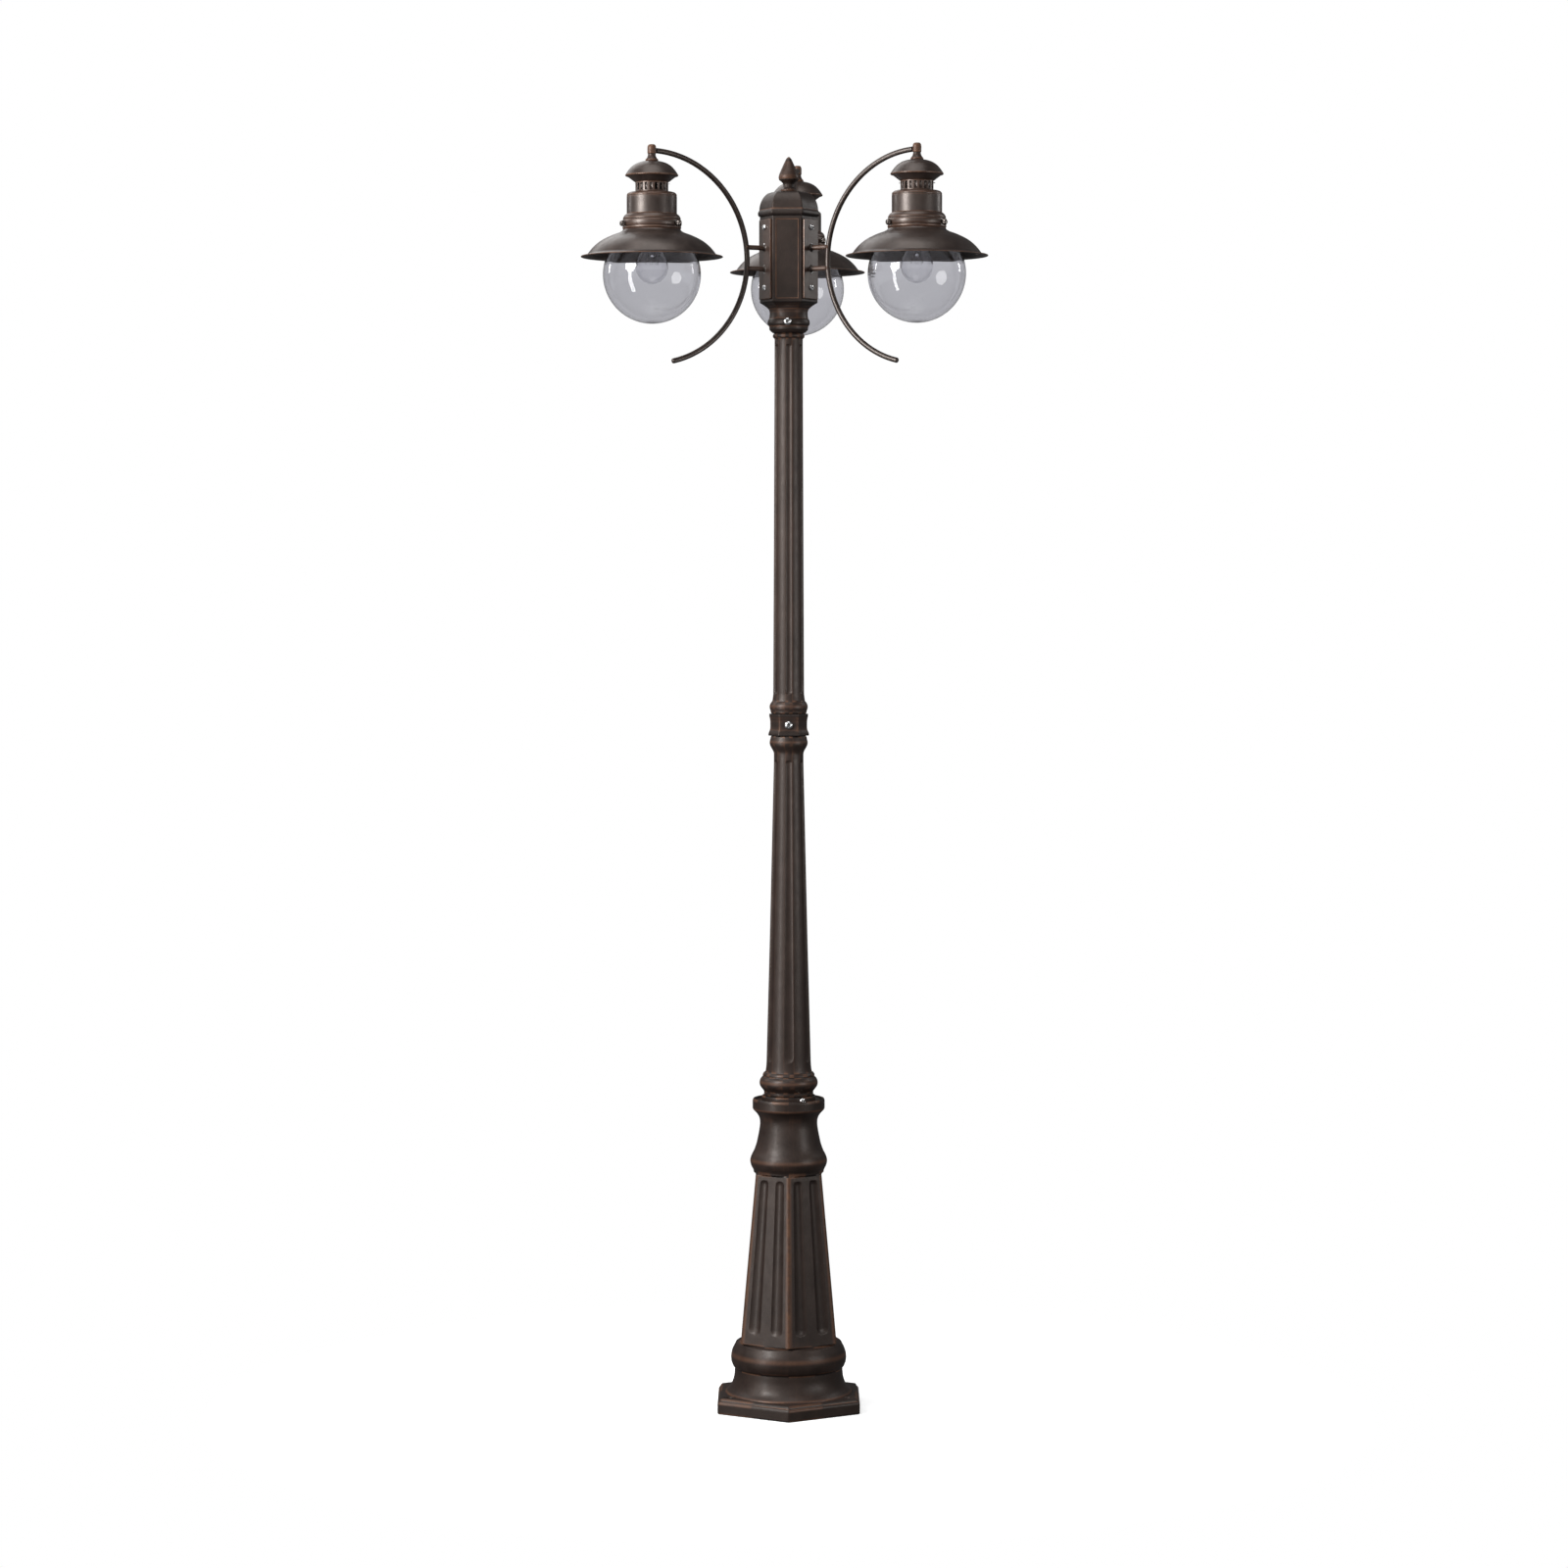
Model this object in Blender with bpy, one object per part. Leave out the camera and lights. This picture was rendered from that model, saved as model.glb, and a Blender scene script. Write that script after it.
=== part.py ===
# Three-armed lamp post: a cast base, two fluted poles, a six-sided head and three globe lanterns.
# The origin is on the ground under the pole's axis, +Z is up and -Y is the front.
# Sizes are in millimetres here and are turned into metres when each mesh is finished.
import math

import bmesh
import bpy
from mathutils import Matrix, Vector

MM = 0.001
GAP = 0.3                    # clearance between pieces that touch

HEAD_TURN = -3.5             # degrees that the head stands turned on its pole
ARM_ANGLES = [90 + HEAD_TURN, 210 + HEAD_TURN, 330 + HEAD_TURN]
BASE_SCREW_ANGLE = -60       # where each joint's set screw stands
SLEEVE_SCREW_ANGLE = -90
NECK_SCREW_ANGLE = -90 + HEAD_TURN

BASE_SCREW_HEIGHT = 585.0
SLEEVE_SCREW_HEIGHT = 1289.0
NECK_SCREW_HEIGHT = 2041.0

BASE_CORNER = 154.0          # plate, centre to corner
ANCHOR_REACH = 128.0         # axis to each anchor hole
ANCHOR_ANGLES = [-150, -30, 90]
ANCHOR_HOLE = 6.0            # radius
CABLE_OUT = 50.0             # axis to the cable hole
BASE_TOP = 591.0             # top of the base's collar
JOINT_TOP = 1268.0           # top of the lower pole
SLEEVE_TOP = 1309.5
POLE_TOP = 2021.0
BOX_BOTTOM = 2077.0
BOX_TOP = 2237.0
ROOF_TOP = 2284.0
BOX_CORNER = 54.3            # head box, centre to corner
BOX_WALL = 3.0
PLATE_THICK = 3.0
SPIGOT = 20.0                # radius of the pole spigots
SOCKET = 20.8                # radius of the sockets that they turn in

LAMP_REACH = 281.0           # pole axis to lamp axis
LAMP_HEIGHT = 2154.0         # centre of the arm's arc
ARC_RADIUS = 194.5
ARM_RADIUS = 5.0
ARM_BORE = 3.5
ARC_START = 92.7             # degrees round the arc, at the elbow
ARC_END = 257.0              # degrees round the arc, at the free end
STUB_HEIGHTS = [24.0, -15.0]      # above the arc's centre
PLATE_SCREWS = [62.0, -50.0]

GLOBE_RADIUS = 90.0
GLOBE_CENTRE = -32.5         # below the arc's centre
GLOBE_WALL = 2.5
GLOBE_NECK = 46.0
THUMB_HEIGHT = 59.0          # above the arc's centre
VENT_COUNT = 20

FINISHES = {
    "cast_paint": ((0.075, 0.055, 0.047), 0.55, 0.6),
    "sheet_paint": ((0.085, 0.058, 0.046), 0.45, 0.7),
    "bright_steel": ((0.75, 0.75, 0.76), 0.25, 1.0),
    "dark_steel": ((0.20, 0.18, 0.16), 0.30, 1.0),
    "clear_glass": ((0.93, 0.95, 0.96), 0.03, 0.0),
    "bulb_glass": ((0.96, 0.96, 0.97), 0.03, 0.0),
    "white_ceramic": ((0.86, 0.85, 0.82), 0.30, 0.0),
    "black_rubber": ((0.03, 0.03, 0.03), 0.80, 0.0),
    "grey_plastic": ((0.55, 0.55, 0.53), 0.50, 0.0),
}


def clear_scene():
    for item in list(bpy.data.objects):
        bpy.data.objects.remove(item, do_unlink=True)


def finish_material(finish):
    found = bpy.data.materials.get(finish)
    if found:
        return found
    colour, roughness, metallic = FINISHES[finish]
    material = bpy.data.materials.new(finish)
    material.use_nodes = True
    shader = material.node_tree.nodes["Principled BSDF"]
    shader.inputs["Base Color"].default_value = (*colour, 1.0)
    shader.inputs["Roughness"].default_value = roughness
    shader.inputs["Metallic"].default_value = metallic
    return material


def finish_mesh(name, bm, finish):
    """Scale the millimetre mesh to metres, point its faces outwards and shade it."""
    bmesh.ops.recalc_face_normals(bm, faces=bm.faces)
    bmesh.ops.scale(bm, vec=(MM, MM, MM), verts=bm.verts)
    mesh = bpy.data.meshes.new(name)
    bm.to_mesh(mesh)
    bm.free()
    mesh.materials.append(finish_material(finish))
    mesh.shade_smooth()
    mesh.set_sharp_from_angle(angle=math.radians(35))
    return mesh


def place(name, mesh, x=0.0, y=0.0, z=0.0, turn=0.0):
    """Put a mesh in the scene as one named piece; turn is in degrees about +Z."""
    piece = bpy.data.objects.new(name, mesh)
    piece.location = (x * MM, y * MM, z * MM)
    piece.rotation_euler = (0.0, 0.0, math.radians(turn))
    bpy.context.scene.collection.objects.link(piece)
    return piece


# ---- shapes ----

def turned(profile, steps, closed):
    """Spin a profile of (radius, height) about +Z; a closed profile makes a ring."""
    bm = bmesh.new()
    points = [bm.verts.new((radius, 0.0, height)) for radius, height in profile]
    pairs = list(zip(points, points[1:]))
    if closed:
        pairs.append((points[-1], points[0]))
    edges = [bm.edges.new(pair) for pair in pairs]
    bmesh.ops.spin(
        bm, geom=points + edges, cent=(0, 0, 0), axis=(0, 0, 1),
        angle=math.tau, steps=steps, use_merge=True,
    )
    bmesh.ops.remove_doubles(bm, verts=bm.verts, dist=1e-4)
    return bm


def round_loop(radius, height, count=24, first=-90.0):
    return [
        Vector((radius * math.cos(a), radius * math.sin(a), height))
        for a in (math.radians(first + 360 * i / count) for i in range(count))
    ]


def hexagon_reach(corner, degrees):
    """Distance from the centre to a hexagon's side, degrees away from a corner."""
    return corner * math.cos(math.pi / 6) / math.cos(math.radians(degrees % 60 - 30))


def hex_loop(corner, height, count=24, flute=0.0, first=-90.0):
    """A hexagonal outline with a corner at the first angle; flutes sink beside each corner."""
    points = []
    for i in range(count):
        degrees = 360 * i / count
        reach = hexagon_reach(corner, degrees)
        if flute and round(degrees % 30, 3) == 15:
            reach -= flute
        a = math.radians(first + degrees)
        points.append(Vector((reach * math.cos(a), reach * math.sin(a), height)))
    return points


def fluted_loop(radius, height, depth=0.0):
    """A round outline with six sunk flutes, one of them at the front."""
    points = []
    for sector in range(6):
        for offset, share in ((-13, 0), (0, 1), (13, 0), (30, 0)):
            a = math.radians(-90 + 60 * sector + offset)
            reach = radius - share * depth
            points.append(Vector((reach * math.cos(a), reach * math.sin(a), height)))
    return points


def join_loops(bm, low, high):
    """Faces between two outlines that have equal counts, or one twice the other's."""
    small, large = (low, high) if len(low) <= len(high) else (high, low)
    n = len(small)
    for i in range(n):
        j = (i + 1) % n
        if len(large) == n:
            bm.faces.new((small[i], small[j], large[j], large[i]))
            continue
        a, b, c = large[2 * i], large[2 * i + 1], large[(2 * i + 2) % len(large)]
        bm.faces.new((small[i], b, a))
        bm.faces.new((small[i], small[j], b))
        bm.faces.new((small[j], c, b))


def lofted(outlines, ring):
    """Skin a stack of outlines; a ring joins the last to the first, otherwise both ends close."""
    bm = bmesh.new()
    loops = [[bm.verts.new(point) for point in outline] for outline in outlines]
    for low, high in zip(loops, loops[1:]):
        join_loops(bm, low, high)
    if ring:
        join_loops(bm, loops[-1], loops[0])
    else:
        bm.faces.new(loops[0])
        bm.faces.new(loops[-1])
    return bm


def tube_outlines(path, radius, sides):
    """Round outlines square to each point of a path that lies in the XZ plane."""
    outlines = []
    for i, point in enumerate(path):
        before = (point - path[i - 1]).normalized() if i else None
        after = (path[i + 1] - point).normalized() if i + 1 < len(path) else None
        along = ((before or after) + (after or before)).normalized()
        stretch = 1.0
        if before and after:
            stretch = 1.0 / max(0.5, before.dot(along))
        across = Vector((0, 1, 0)).cross(along)
        outlines.append([
            point + radius * (math.cos(a) * Vector((0, 1, 0)) + stretch * math.sin(a) * across)
            for a in (math.tau * (k + 0.5) / sides for k in range(sides))
        ])
    return outlines


def cylinder_into(bm, centre, direction, radius, length, sides=10):
    """Add a closed cylinder that starts at centre and runs along direction."""
    direction = Vector(direction).normalized()
    turn = Vector((0, 0, 1)).rotation_difference(direction).to_matrix().to_4x4()
    spot = Matrix.Translation(Vector(centre) + direction * length / 2)
    bmesh.ops.create_cone(
        bm, cap_ends=True, segments=sides, radius1=radius, radius2=radius,
        depth=length, matrix=spot @ turn,
    )


def box_into(bm, low, high):
    size = [b - a for a, b in zip(low, high)]
    middle = [(a + b) / 2 for a, b in zip(low, high)]
    matrix = Matrix.Translation(middle) @ Matrix.Diagonal((*size, 1.0))
    bmesh.ops.create_cube(bm, size=1.0, matrix=matrix)


def scratch_piece(bm):
    """A helper object for one Boolean."""
    bmesh.ops.recalc_face_normals(bm, faces=bm.faces)
    mesh = bpy.data.meshes.new("helper")
    bm.to_mesh(mesh)
    bm.free()
    helper = bpy.data.objects.new("helper", mesh)
    bpy.context.scene.collection.objects.link(helper)
    return helper


def combined(bm, tool_bm, operation):
    """The result of one Boolean between two millimetre meshes, as a new bmesh."""
    body = scratch_piece(bm)
    tool = scratch_piece(tool_bm)
    modifier = body.modifiers.new("combine", "BOOLEAN")
    modifier.operation = operation
    modifier.solver = "EXACT"
    modifier.object = tool
    graph = bpy.context.evaluated_depsgraph_get()
    result = bmesh.new()
    result.from_mesh(body.evaluated_get(graph).to_mesh())
    for helper in (body, tool):
        bpy.data.objects.remove(helper, do_unlink=True)
    bmesh.ops.remove_doubles(result, verts=result.verts, dist=1e-3)
    bmesh.ops.dissolve_degenerate(result, edges=result.edges, dist=1e-3)
    return result


def drilled(bm, holes, sides=10):
    """Cut round holes, each given as (start, direction, radius, length)."""
    drill = bmesh.new()
    for start, direction, radius, length in holes:
        cylinder_into(drill, start, direction, radius, length, sides)
    return combined(bm, drill, "DIFFERENCE")


def outward(degrees):
    a = math.radians(degrees)
    return Vector((math.cos(a), math.sin(a), 0.0))


def radial_holes(angles, inner, outer, height, radius):
    return [
        (outward(a) * inner + Vector((0, 0, height)), outward(a), radius, outer - inner)
        for a in angles
    ]


def set_screw(name, angle, tip, seat, height, shank, head, rise):
    """A dome-headed set screw that points at the pole's axis."""
    profile = [
        (0, tip), (shank, tip), (shank, seat + GAP), (head, seat + GAP),
        (head * 0.96, seat + rise * 0.5), (head * 0.6, seat + rise * 0.9), (0, seat + rise),
    ]
    bm = turned(profile, 12, closed=False)
    bmesh.ops.rotate(bm, matrix=Matrix.Rotation(math.pi / 2, 3, "Y"), verts=bm.verts)
    place(name, finish_mesh(name, bm, "bright_steel"), z=height, turn=angle)


# ---- the post ----

def make_base():
    plate = [
        hex_loop(BASE_CORNER, 0), hex_loop(BASE_CORNER, 23), hex_loop(BASE_CORNER - 5, 29),
    ]
    foot = [(119, 29.5), (108, 45), (102, 64), (102, 75), (107.5, 86), (108.4, 100), (105, 114), (98, 124)]
    vase = [
        (65, 446), (70, 456), (72.9, 468), (68.4, 479.7), (61.1, 494.4), (55, 523), (52.7, 538.6),
        (54.8, 549.6), (60.4, 557), (67.7, 564.3), (67.7, 582.7), (64.5, 585), (58, 578.5),
        (50.5, 578.5), (50.5, BASE_TOP),
    ]
    inside = [
        (42.4, BASE_TOP), (42.4, 541), (45, 525), (56, 490), (57, 462), (52, 440), (80, 124),
        (92, 105), (90, 60), (100, 30), (100, 10),
    ]
    flutes = [
        hex_loop(corner, height, 48, sunk)
        for corner, height, sunk in ((101.4, 148, 0), (100.4, 158, 3.5), (72.8, 426, 2.5), (71.9, 436, 0))
    ]
    outlines = plate + [round_loop(r, z) for r, z in foot]
    outlines += [hex_loop(103.5, 127)] + flutes + [hex_loop(71, 443)]
    outlines += [round_loop(r, z) for r, z in vase + inside]
    bm = lofted(outlines, ring=False)
    below = Vector((0, 0, -10))
    holes = radial_holes([BASE_SCREW_ANGLE], 38, 58, BASE_SCREW_HEIGHT, 2.8)
    holes += [(outward(a) * ANCHOR_REACH + below, (0, 0, 1), ANCHOR_HOLE, 60) for a in ANCHOR_ANGLES]
    holes.append((Vector((0, CABLE_OUT, 0)) + below, (0, 0, 1), 12, 40))
    place("base_casting", finish_mesh("base_casting", drilled(bm, holes, 12), "cast_paint"))


def make_grommet():
    profile = [(5.2, 1), (9, 1), (11.6, 3), (11.6, 10.3), (15, 10.3), (15, 13), (5.2, 13)]
    mesh = finish_mesh("cable_grommet", turned(profile, 12, True), "black_rubber")
    place("cable_grommet", mesh, y=CABLE_OUT)


def make_lower_pole():
    foot = [
        (41.5, 547), (41.5, BASE_TOP + GAP), (46.4, BASE_TOP + GAP), (46.4, 600), (53, 607),
        (55.1, 615.8), (52, 624.5), (47.8, 631), (43, 635), (41.8, 645),
    ]
    shaft = [
        (41.6, 655, 0), (41.2, 667, 3.2), (35.6, 880, 3.0),
        (28.9, 1168, 2.6), (27.8, 1212, 2.6), (27.7, 1223, 0),
    ]
    neck = [(27.7, 1238), (32.8, 1248), (35.8, 1255), (35.6, 1261), (32.5, JOINT_TOP)]
    bore = [(SOCKET, JOINT_TOP), (SOCKET, 1196), (23.5, 1190), (35, 640), (35, 547)]
    outlines = [fluted_loop(r, z) for r, z in foot]
    outlines += [fluted_loop(r, z, sunk) for r, z, sunk in shaft]
    outlines += [fluted_loop(r, z) for r, z in neck + bore]
    bm = lofted(outlines, ring=True)
    place("lower_pole", finish_mesh("lower_pole", bm, "cast_paint"))


def make_sleeve():
    bottom = JOINT_TOP + GAP
    shape = [(38.7, bottom), (37.6, 1274), (35, 1281), (35, 1297), (36.4, 1304), (36.7, SLEEVE_TOP)]
    outlines = [hex_loop(corner, height, first=-120) for corner, height in shape]
    outlines += [round_loop(SOCKET, height, first=-120) for height in (SLEEVE_TOP, bottom)]
    holes = radial_holes([SLEEVE_SCREW_ANGLE], 15, 45, SLEEVE_SCREW_HEIGHT, 3.3)
    bm = drilled(lofted(outlines, ring=True), holes)
    place("coupling_sleeve", finish_mesh("coupling_sleeve", bm, "cast_paint"))


def make_upper_pole():
    foot = [
        (SPIGOT, 1200), (SPIGOT, SLEEVE_TOP + GAP), (33, SLEEVE_TOP + GAP), (33.6, 1315),
        (35.7, 1323), (33.4, 1332), (29.6, 1338),
    ]
    shaft = [
        (28.9, 1346, 0), (28.8, 1358, 2.6), (27.7, 1610, 2.5),
        (26.4, 1940, 2.4), (26.3, 1988, 2.4), (26.3, 2000, 0),
    ]
    top = [(26.3, 2011), (29.4, 2015), (29.4, 2019), (26.5, POLE_TOP), (SPIGOT, POLE_TOP), (SPIGOT, 2066)]
    outlines = [fluted_loop(r, z) for r, z in foot]
    outlines += [fluted_loop(r, z, sunk) for r, z, sunk in shaft]
    outlines += [fluted_loop(r, z) for r, z in top + [(16.5, 2066), (16.5, 1200)]]
    bm = lofted(outlines, ring=True)
    place("upper_pole", finish_mesh("upper_pole", bm, "cast_paint"))


def make_neck():
    collar = [
        (30, POLE_TOP + GAP), (36, 2026), (36.5, 2034), (39.3, 2037), (39.3, 2045),
        (35.6, 2053), (35.4, 2060), (37.5, 2066),
    ]
    outlines = [round_loop(r, z, first=-120) for r, z in collar]
    outlines += [hex_loop(44, 2071, first=-120), hex_loop(BOX_CORNER - 0.5, BOX_BOTTOM - GAP, first=-120)]
    inside = [(24, BOX_BOTTOM - GAP), (SOCKET, 2070), (SOCKET, POLE_TOP + GAP)]
    outlines += [round_loop(r, z, first=-120) for r, z in inside]
    bm = lofted(outlines, ring=True)
    bm = drilled(bm, radial_holes([-90], 15, 50, NECK_SCREW_HEIGHT, 3.3))
    place("head_neck", finish_mesh("head_neck", bm, "cast_paint"), turn=HEAD_TURN)


def make_head_box():
    inner = BOX_CORNER - BOX_WALL / math.cos(math.pi / 6)
    outlines = [
        hex_loop(BOX_CORNER, BOX_BOTTOM, 6, first=-120), hex_loop(BOX_CORNER, BOX_TOP, 6, first=-120),
        hex_loop(inner, BOX_TOP, 6, first=-120), hex_loop(inner, BOX_BOTTOM, 6, first=-120),
    ]
    bm = lofted(outlines, ring=True)
    bmesh.ops.recalc_face_normals(bm, faces=bm.faces)
    apothem = BOX_CORNER * math.cos(math.pi / 6)
    shown = []
    for a in (-90, 30, 150):
        way = outward(a)
        for face in bm.faces:
            outside = face.calc_center_median().dot(way) > apothem - BOX_WALL / 2
            if outside and face.normal.dot(way) > 0.99:
                shown.append(face)
    bmesh.ops.inset_individual(bm, faces=shown, thickness=6, depth=-1.2)
    arms = [90, 210, 330]
    holes = radial_holes(arms, 40, 52, LAMP_HEIGHT + STUB_HEIGHTS[0], 3.4)
    for height in PLATE_SCREWS:
        holes += radial_holes(arms, 40, 52, LAMP_HEIGHT + height, 2.8)
    bm = drilled(bm, holes, 8)
    place("head_box", finish_mesh("head_box", bm, "cast_paint"), turn=HEAD_TURN)


def make_roof():
    low = BOX_TOP + GAP
    outer = [
        (BOX_CORNER, low), (57.6, 2239.5), (58, 2246), (55.5, 2251), (54.3, 2256),
        (51.5, 2266), (47, 2275), (40.5, 2282), (30, ROOF_TOP),
    ]
    inner = [(25, 2280), (37, 2276), (43, 2270), (48, 2260), (49.5, low)]
    rows = [hex_loop(corner, height, 6, first=-120) for corner, height in outer + inner]
    bore = [round_loop(4.9, height, 6, first=-120) for height in (ROOF_TOP, ROOF_TOP - 4)]
    outlines = rows[:len(outer)] + bore + rows[len(outer):]
    place("head_roof", finish_mesh("head_roof", lofted(outlines, ring=True), "cast_paint"), turn=HEAD_TURN)


def make_finial():
    profile = [
        (0, 2266), (3.8, 2266), (3.8, ROOF_TOP + GAP), (14, ROOF_TOP + GAP), (14.5, 2288), (10, 2293),
        (10.5, 2300),
        (18, 2306), (19, 2311), (13, 2328), (5, 2345), (0, 2349),
    ]
    place("finial", finish_mesh("finial", turned(profile, 16, False), "cast_paint"))
    low, high = ROOF_TOP - 15, ROOF_TOP - 4.4
    outlines = [hex_loop(8, low, 6), hex_loop(8, high, 6), round_loop(4.7, high, 6), round_loop(4.7, low, 6)]
    nut = lofted(outlines, ring=True)
    place("finial_nut", finish_mesh("finial_nut", nut, "bright_steel"))


def make_terminal_block():
    bm = bmesh.new()
    box_into(bm, (-20, -43.3, 2096), (20, -28, 2126))
    bmesh.ops.bevel(
        bm, geom=bm.edges[:], offset=1.5, offset_type="OFFSET", segments=1, profile=0.5, affect="EDGES",
    )
    place("terminal_block", finish_mesh("terminal_block", bm, "grey_plastic"), turn=HEAD_TURN)


def smooth_route(points, steps):
    """A Catmull-Rom curve through hand-chosen points."""
    padded = [points[0]] + points + [points[-1]]
    route = []
    for a, b, c, d in zip(padded, padded[1:], padded[2:], padded[3:]):
        for i in range(steps):
            t = i / steps
            square = (2 * a - 5 * b + 4 * c - d) * t ** 2
            cube = (3 * b - a - 3 * c + d) * t ** 3
            route.append(0.5 * (2 * b + (c - a) * t + square + cube))
    return route + [points[-1]]


def make_supply_cable():
    """The mains cable from the ground entry up to the head; it lies in the plane x = 0."""
    bend = [
        Vector((CABLE_OUT, 0, 0.5)), Vector((CABLE_OUT, 0, 60)), Vector((42, 0, 150)),
        Vector((14, 0, 290)), Vector((0, 0, 420)),
    ]
    route = smooth_route(bend, 4) + [Vector((0, 0, 1000)), Vector((0, 0, 1600)), Vector((0, 0, 2088))]
    bm = lofted(tube_outlines(route, 4.4, 8), ring=False)
    bmesh.ops.rotate(bm, matrix=Matrix.Rotation(math.pi / 2, 3, "Z"), verts=bm.verts)
    place("supply_cable", finish_mesh("supply_cable", bm, "black_rubber"))


# ---- one arm and lantern, about the lamp's own axis with +X pointing away from the pole ----

def arc_point(degrees):
    a = math.radians(degrees)
    return Vector((ARC_RADIUS * math.cos(a), 0, ARC_RADIUS * math.sin(a)))


def stub_angle():
    return 180 - math.degrees(math.asin(STUB_HEIGHTS[0] / ARC_RADIUS))


def arm_mesh():
    count = 14
    path = [arc_point(ARC_START + (ARC_END - ARC_START) * i / count) for i in range(count + 1)]
    skin = tube_outlines(path, ARM_RADIUS, 8)
    bore = tube_outlines(path, ARM_BORE, 8)[:count]
    centre = path[-1]
    ahead = (path[-1] - path[-2]).normalized() * 2.5
    nose = [centre + ahead + (point - centre) * 0.6 for point in skin[-1]]
    bm = lofted(bore[::-1] + skin + [nose], ring=False)
    meet = arc_point(stub_angle())
    bm = drilled(bm, [(meet - Vector((8, 0, 0)), (1, 0, 0), 2.4, 8)], 8)
    return finish_mesh("arm_tube", bm, "sheet_paint")


def plate_mesh():
    """A flat plate against the head box, with two stubs that carry the arm."""
    back = BOX_CORNER * math.cos(math.pi / 6) + GAP - LAMP_REACH
    face = back + PLATE_THICK
    bm = bmesh.new()
    box_into(bm, (back, -23.5, -71), (face, 23.5, 77))
    stubs = bmesh.new()
    for height in STUB_HEIGHTS:
        reach = -math.sqrt(ARC_RADIUS ** 2 - height ** 2) - ARM_RADIUS - 0.8
        cylinder_into(stubs, (back + 1, 0, height), (1, 0, 0), 4.5, reach - back - 1, 10)
    bm = combined(bm, stubs, "UNION")
    holes = [((back - 5, 0, STUB_HEIGHTS[0]), (1, 0, 0), 2.8, 60)]
    holes += [((back - 5, 0, height), (1, 0, 0), 2.8, 20) for height in PLATE_SCREWS]
    return finish_mesh("arm_plate", drilled(bm, holes, 8), "sheet_paint")


def elbow_mesh():
    """A small casting that turns the arm's end down into the lantern."""
    bore = [(0, 200), (5.3, 200)]
    outside = [
        (5.3, 175.3), (12, 175.3), (12, 178), (8.5, 182), (7, 187),
        (7.7, 191), (7.7, 203), (6, 205.5), (0, 205.5),
    ]
    bm = drilled(turned(bore + outside, 10, False), [((-12, 0, ARC_RADIUS), (1, 0, 0), 3.2, 10)], 8)
    return finish_mesh("elbow", bm, "sheet_paint")


def cap_mesh():
    profile = [
        (5, 175), (13, 175), (26, 172), (38, 164.5), (48.9, 149), (47, 147), (37, 141.5), (30.5, 136.3),
        (27, 136.3), (43, 150.5), (34, 162), (5, 171.5),
    ]
    return finish_mesh("cap", turned(profile, 18, True), "sheet_paint")


def vent_mesh():
    """A ring whose upper half stands as posts between the vent slots."""
    bm = bmesh.new()
    steps = 2 * VENT_COUNT
    heights = (118.3, 121.5, 136.0)
    grid = {}
    for i in range(steps):
        a = math.tau * i / steps
        for side, radius in enumerate((27.5, 30.2)):
            for row, height in enumerate(heights):
                grid[i, side, row] = bm.verts.new((radius * math.cos(a), radius * math.sin(a), height))
    for i in range(steps):
        j = (i + 1) % steps
        post = i % 2 == 0
        top = 2 if post else 1
        for side in (0, 1):
            for row in range(top):
                corners = [
                    grid[i, side, row], grid[j, side, row], grid[j, side, row + 1], grid[i, side, row + 1],
                ]
                bm.faces.new(corners)
        for row in (0, top):
            bm.faces.new([grid[i, 0, row], grid[j, 0, row], grid[j, 1, row], grid[i, 1, row]])
        if post:
            for k in (i, j):
                bm.faces.new([grid[k, 0, 1], grid[k, 1, 1], grid[k, 1, 2], grid[k, 0, 2]])
    return finish_mesh("vent_ring", bm, "sheet_paint")


def housing_mesh():
    profile = [
        (28, 118), (40, 117.5), (45, 114.5), (46.2, 110), (46.2, 78), (43.8, 78), (43.8, 110), (28, 115.5),
    ]
    return finish_mesh("housing", turned(profile, 18, True), "sheet_paint")


def collar_mesh():
    profile = [
        (46.4, 77.7), (52.7, 69.5), (55, 61), (54, 53), (52, 50), (49.5, 50), (49.5, 70), (43.8, 77.7),
    ]
    bm = drilled(turned(profile, 18, True), radial_holes([0, 120, 240], 40, 60, THUMB_HEIGHT, 2.5), 8)
    return finish_mesh("collar", bm, "sheet_paint")


def shade_mesh():
    profile = [
        (53, 49.7), (55.5, 46), (72.4, 39.7), (97.7, 26.8), (115.6, 9), (118.5, 4.5), (130.8, 1), (130.8, -1),
        (118, 2.4), (113.8, 7.6), (96.6, 24.8), (71.8, 37.6), (48.8, 44.5), (48.8, 49.7),
    ]
    return finish_mesh("shade", turned(profile, 20, True), "sheet_paint")


def globe_mesh():
    """A blown globe with a straight open neck."""
    def arc(radius, count):
        opening = math.acos(min(1.0, (GLOBE_NECK - GLOBE_RADIUS + radius) / radius))
        return [
            (radius * math.cos(a), GLOBE_CENTRE + radius * math.sin(a))
            for a in (-math.pi / 2 + (math.pi / 2 + opening) * i / count for i in range(count + 1))
        ]
    inner_radius = GLOBE_RADIUS - GLOBE_WALL
    outer = arc(GLOBE_RADIUS, 8)
    inner = arc(inner_radius, 6)
    profile = outer + [(GLOBE_NECK, 64), (GLOBE_NECK - GLOBE_WALL, 64)] + inner[::-1]
    profile[0] = (0, profile[0][1])
    profile[-1] = (0, profile[-1][1])
    return finish_mesh("globe", turned(profile, 18, False), "clear_glass")


def bulb_mesh():
    """A pear-shaped bulb with its screw cap, in one solid."""
    profile = [(0, -50)]
    for degrees in (35, 70, 100, 125):
        a = math.radians(degrees)
        profile.append((30 * math.sin(a), -20 - 30 * math.cos(a)))
    profile += [(16, 22), (13, 29), (13, 49), (5, 54), (0, 54)]
    return finish_mesh("bulb", turned(profile, 14, False), "bulb_glass")


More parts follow.
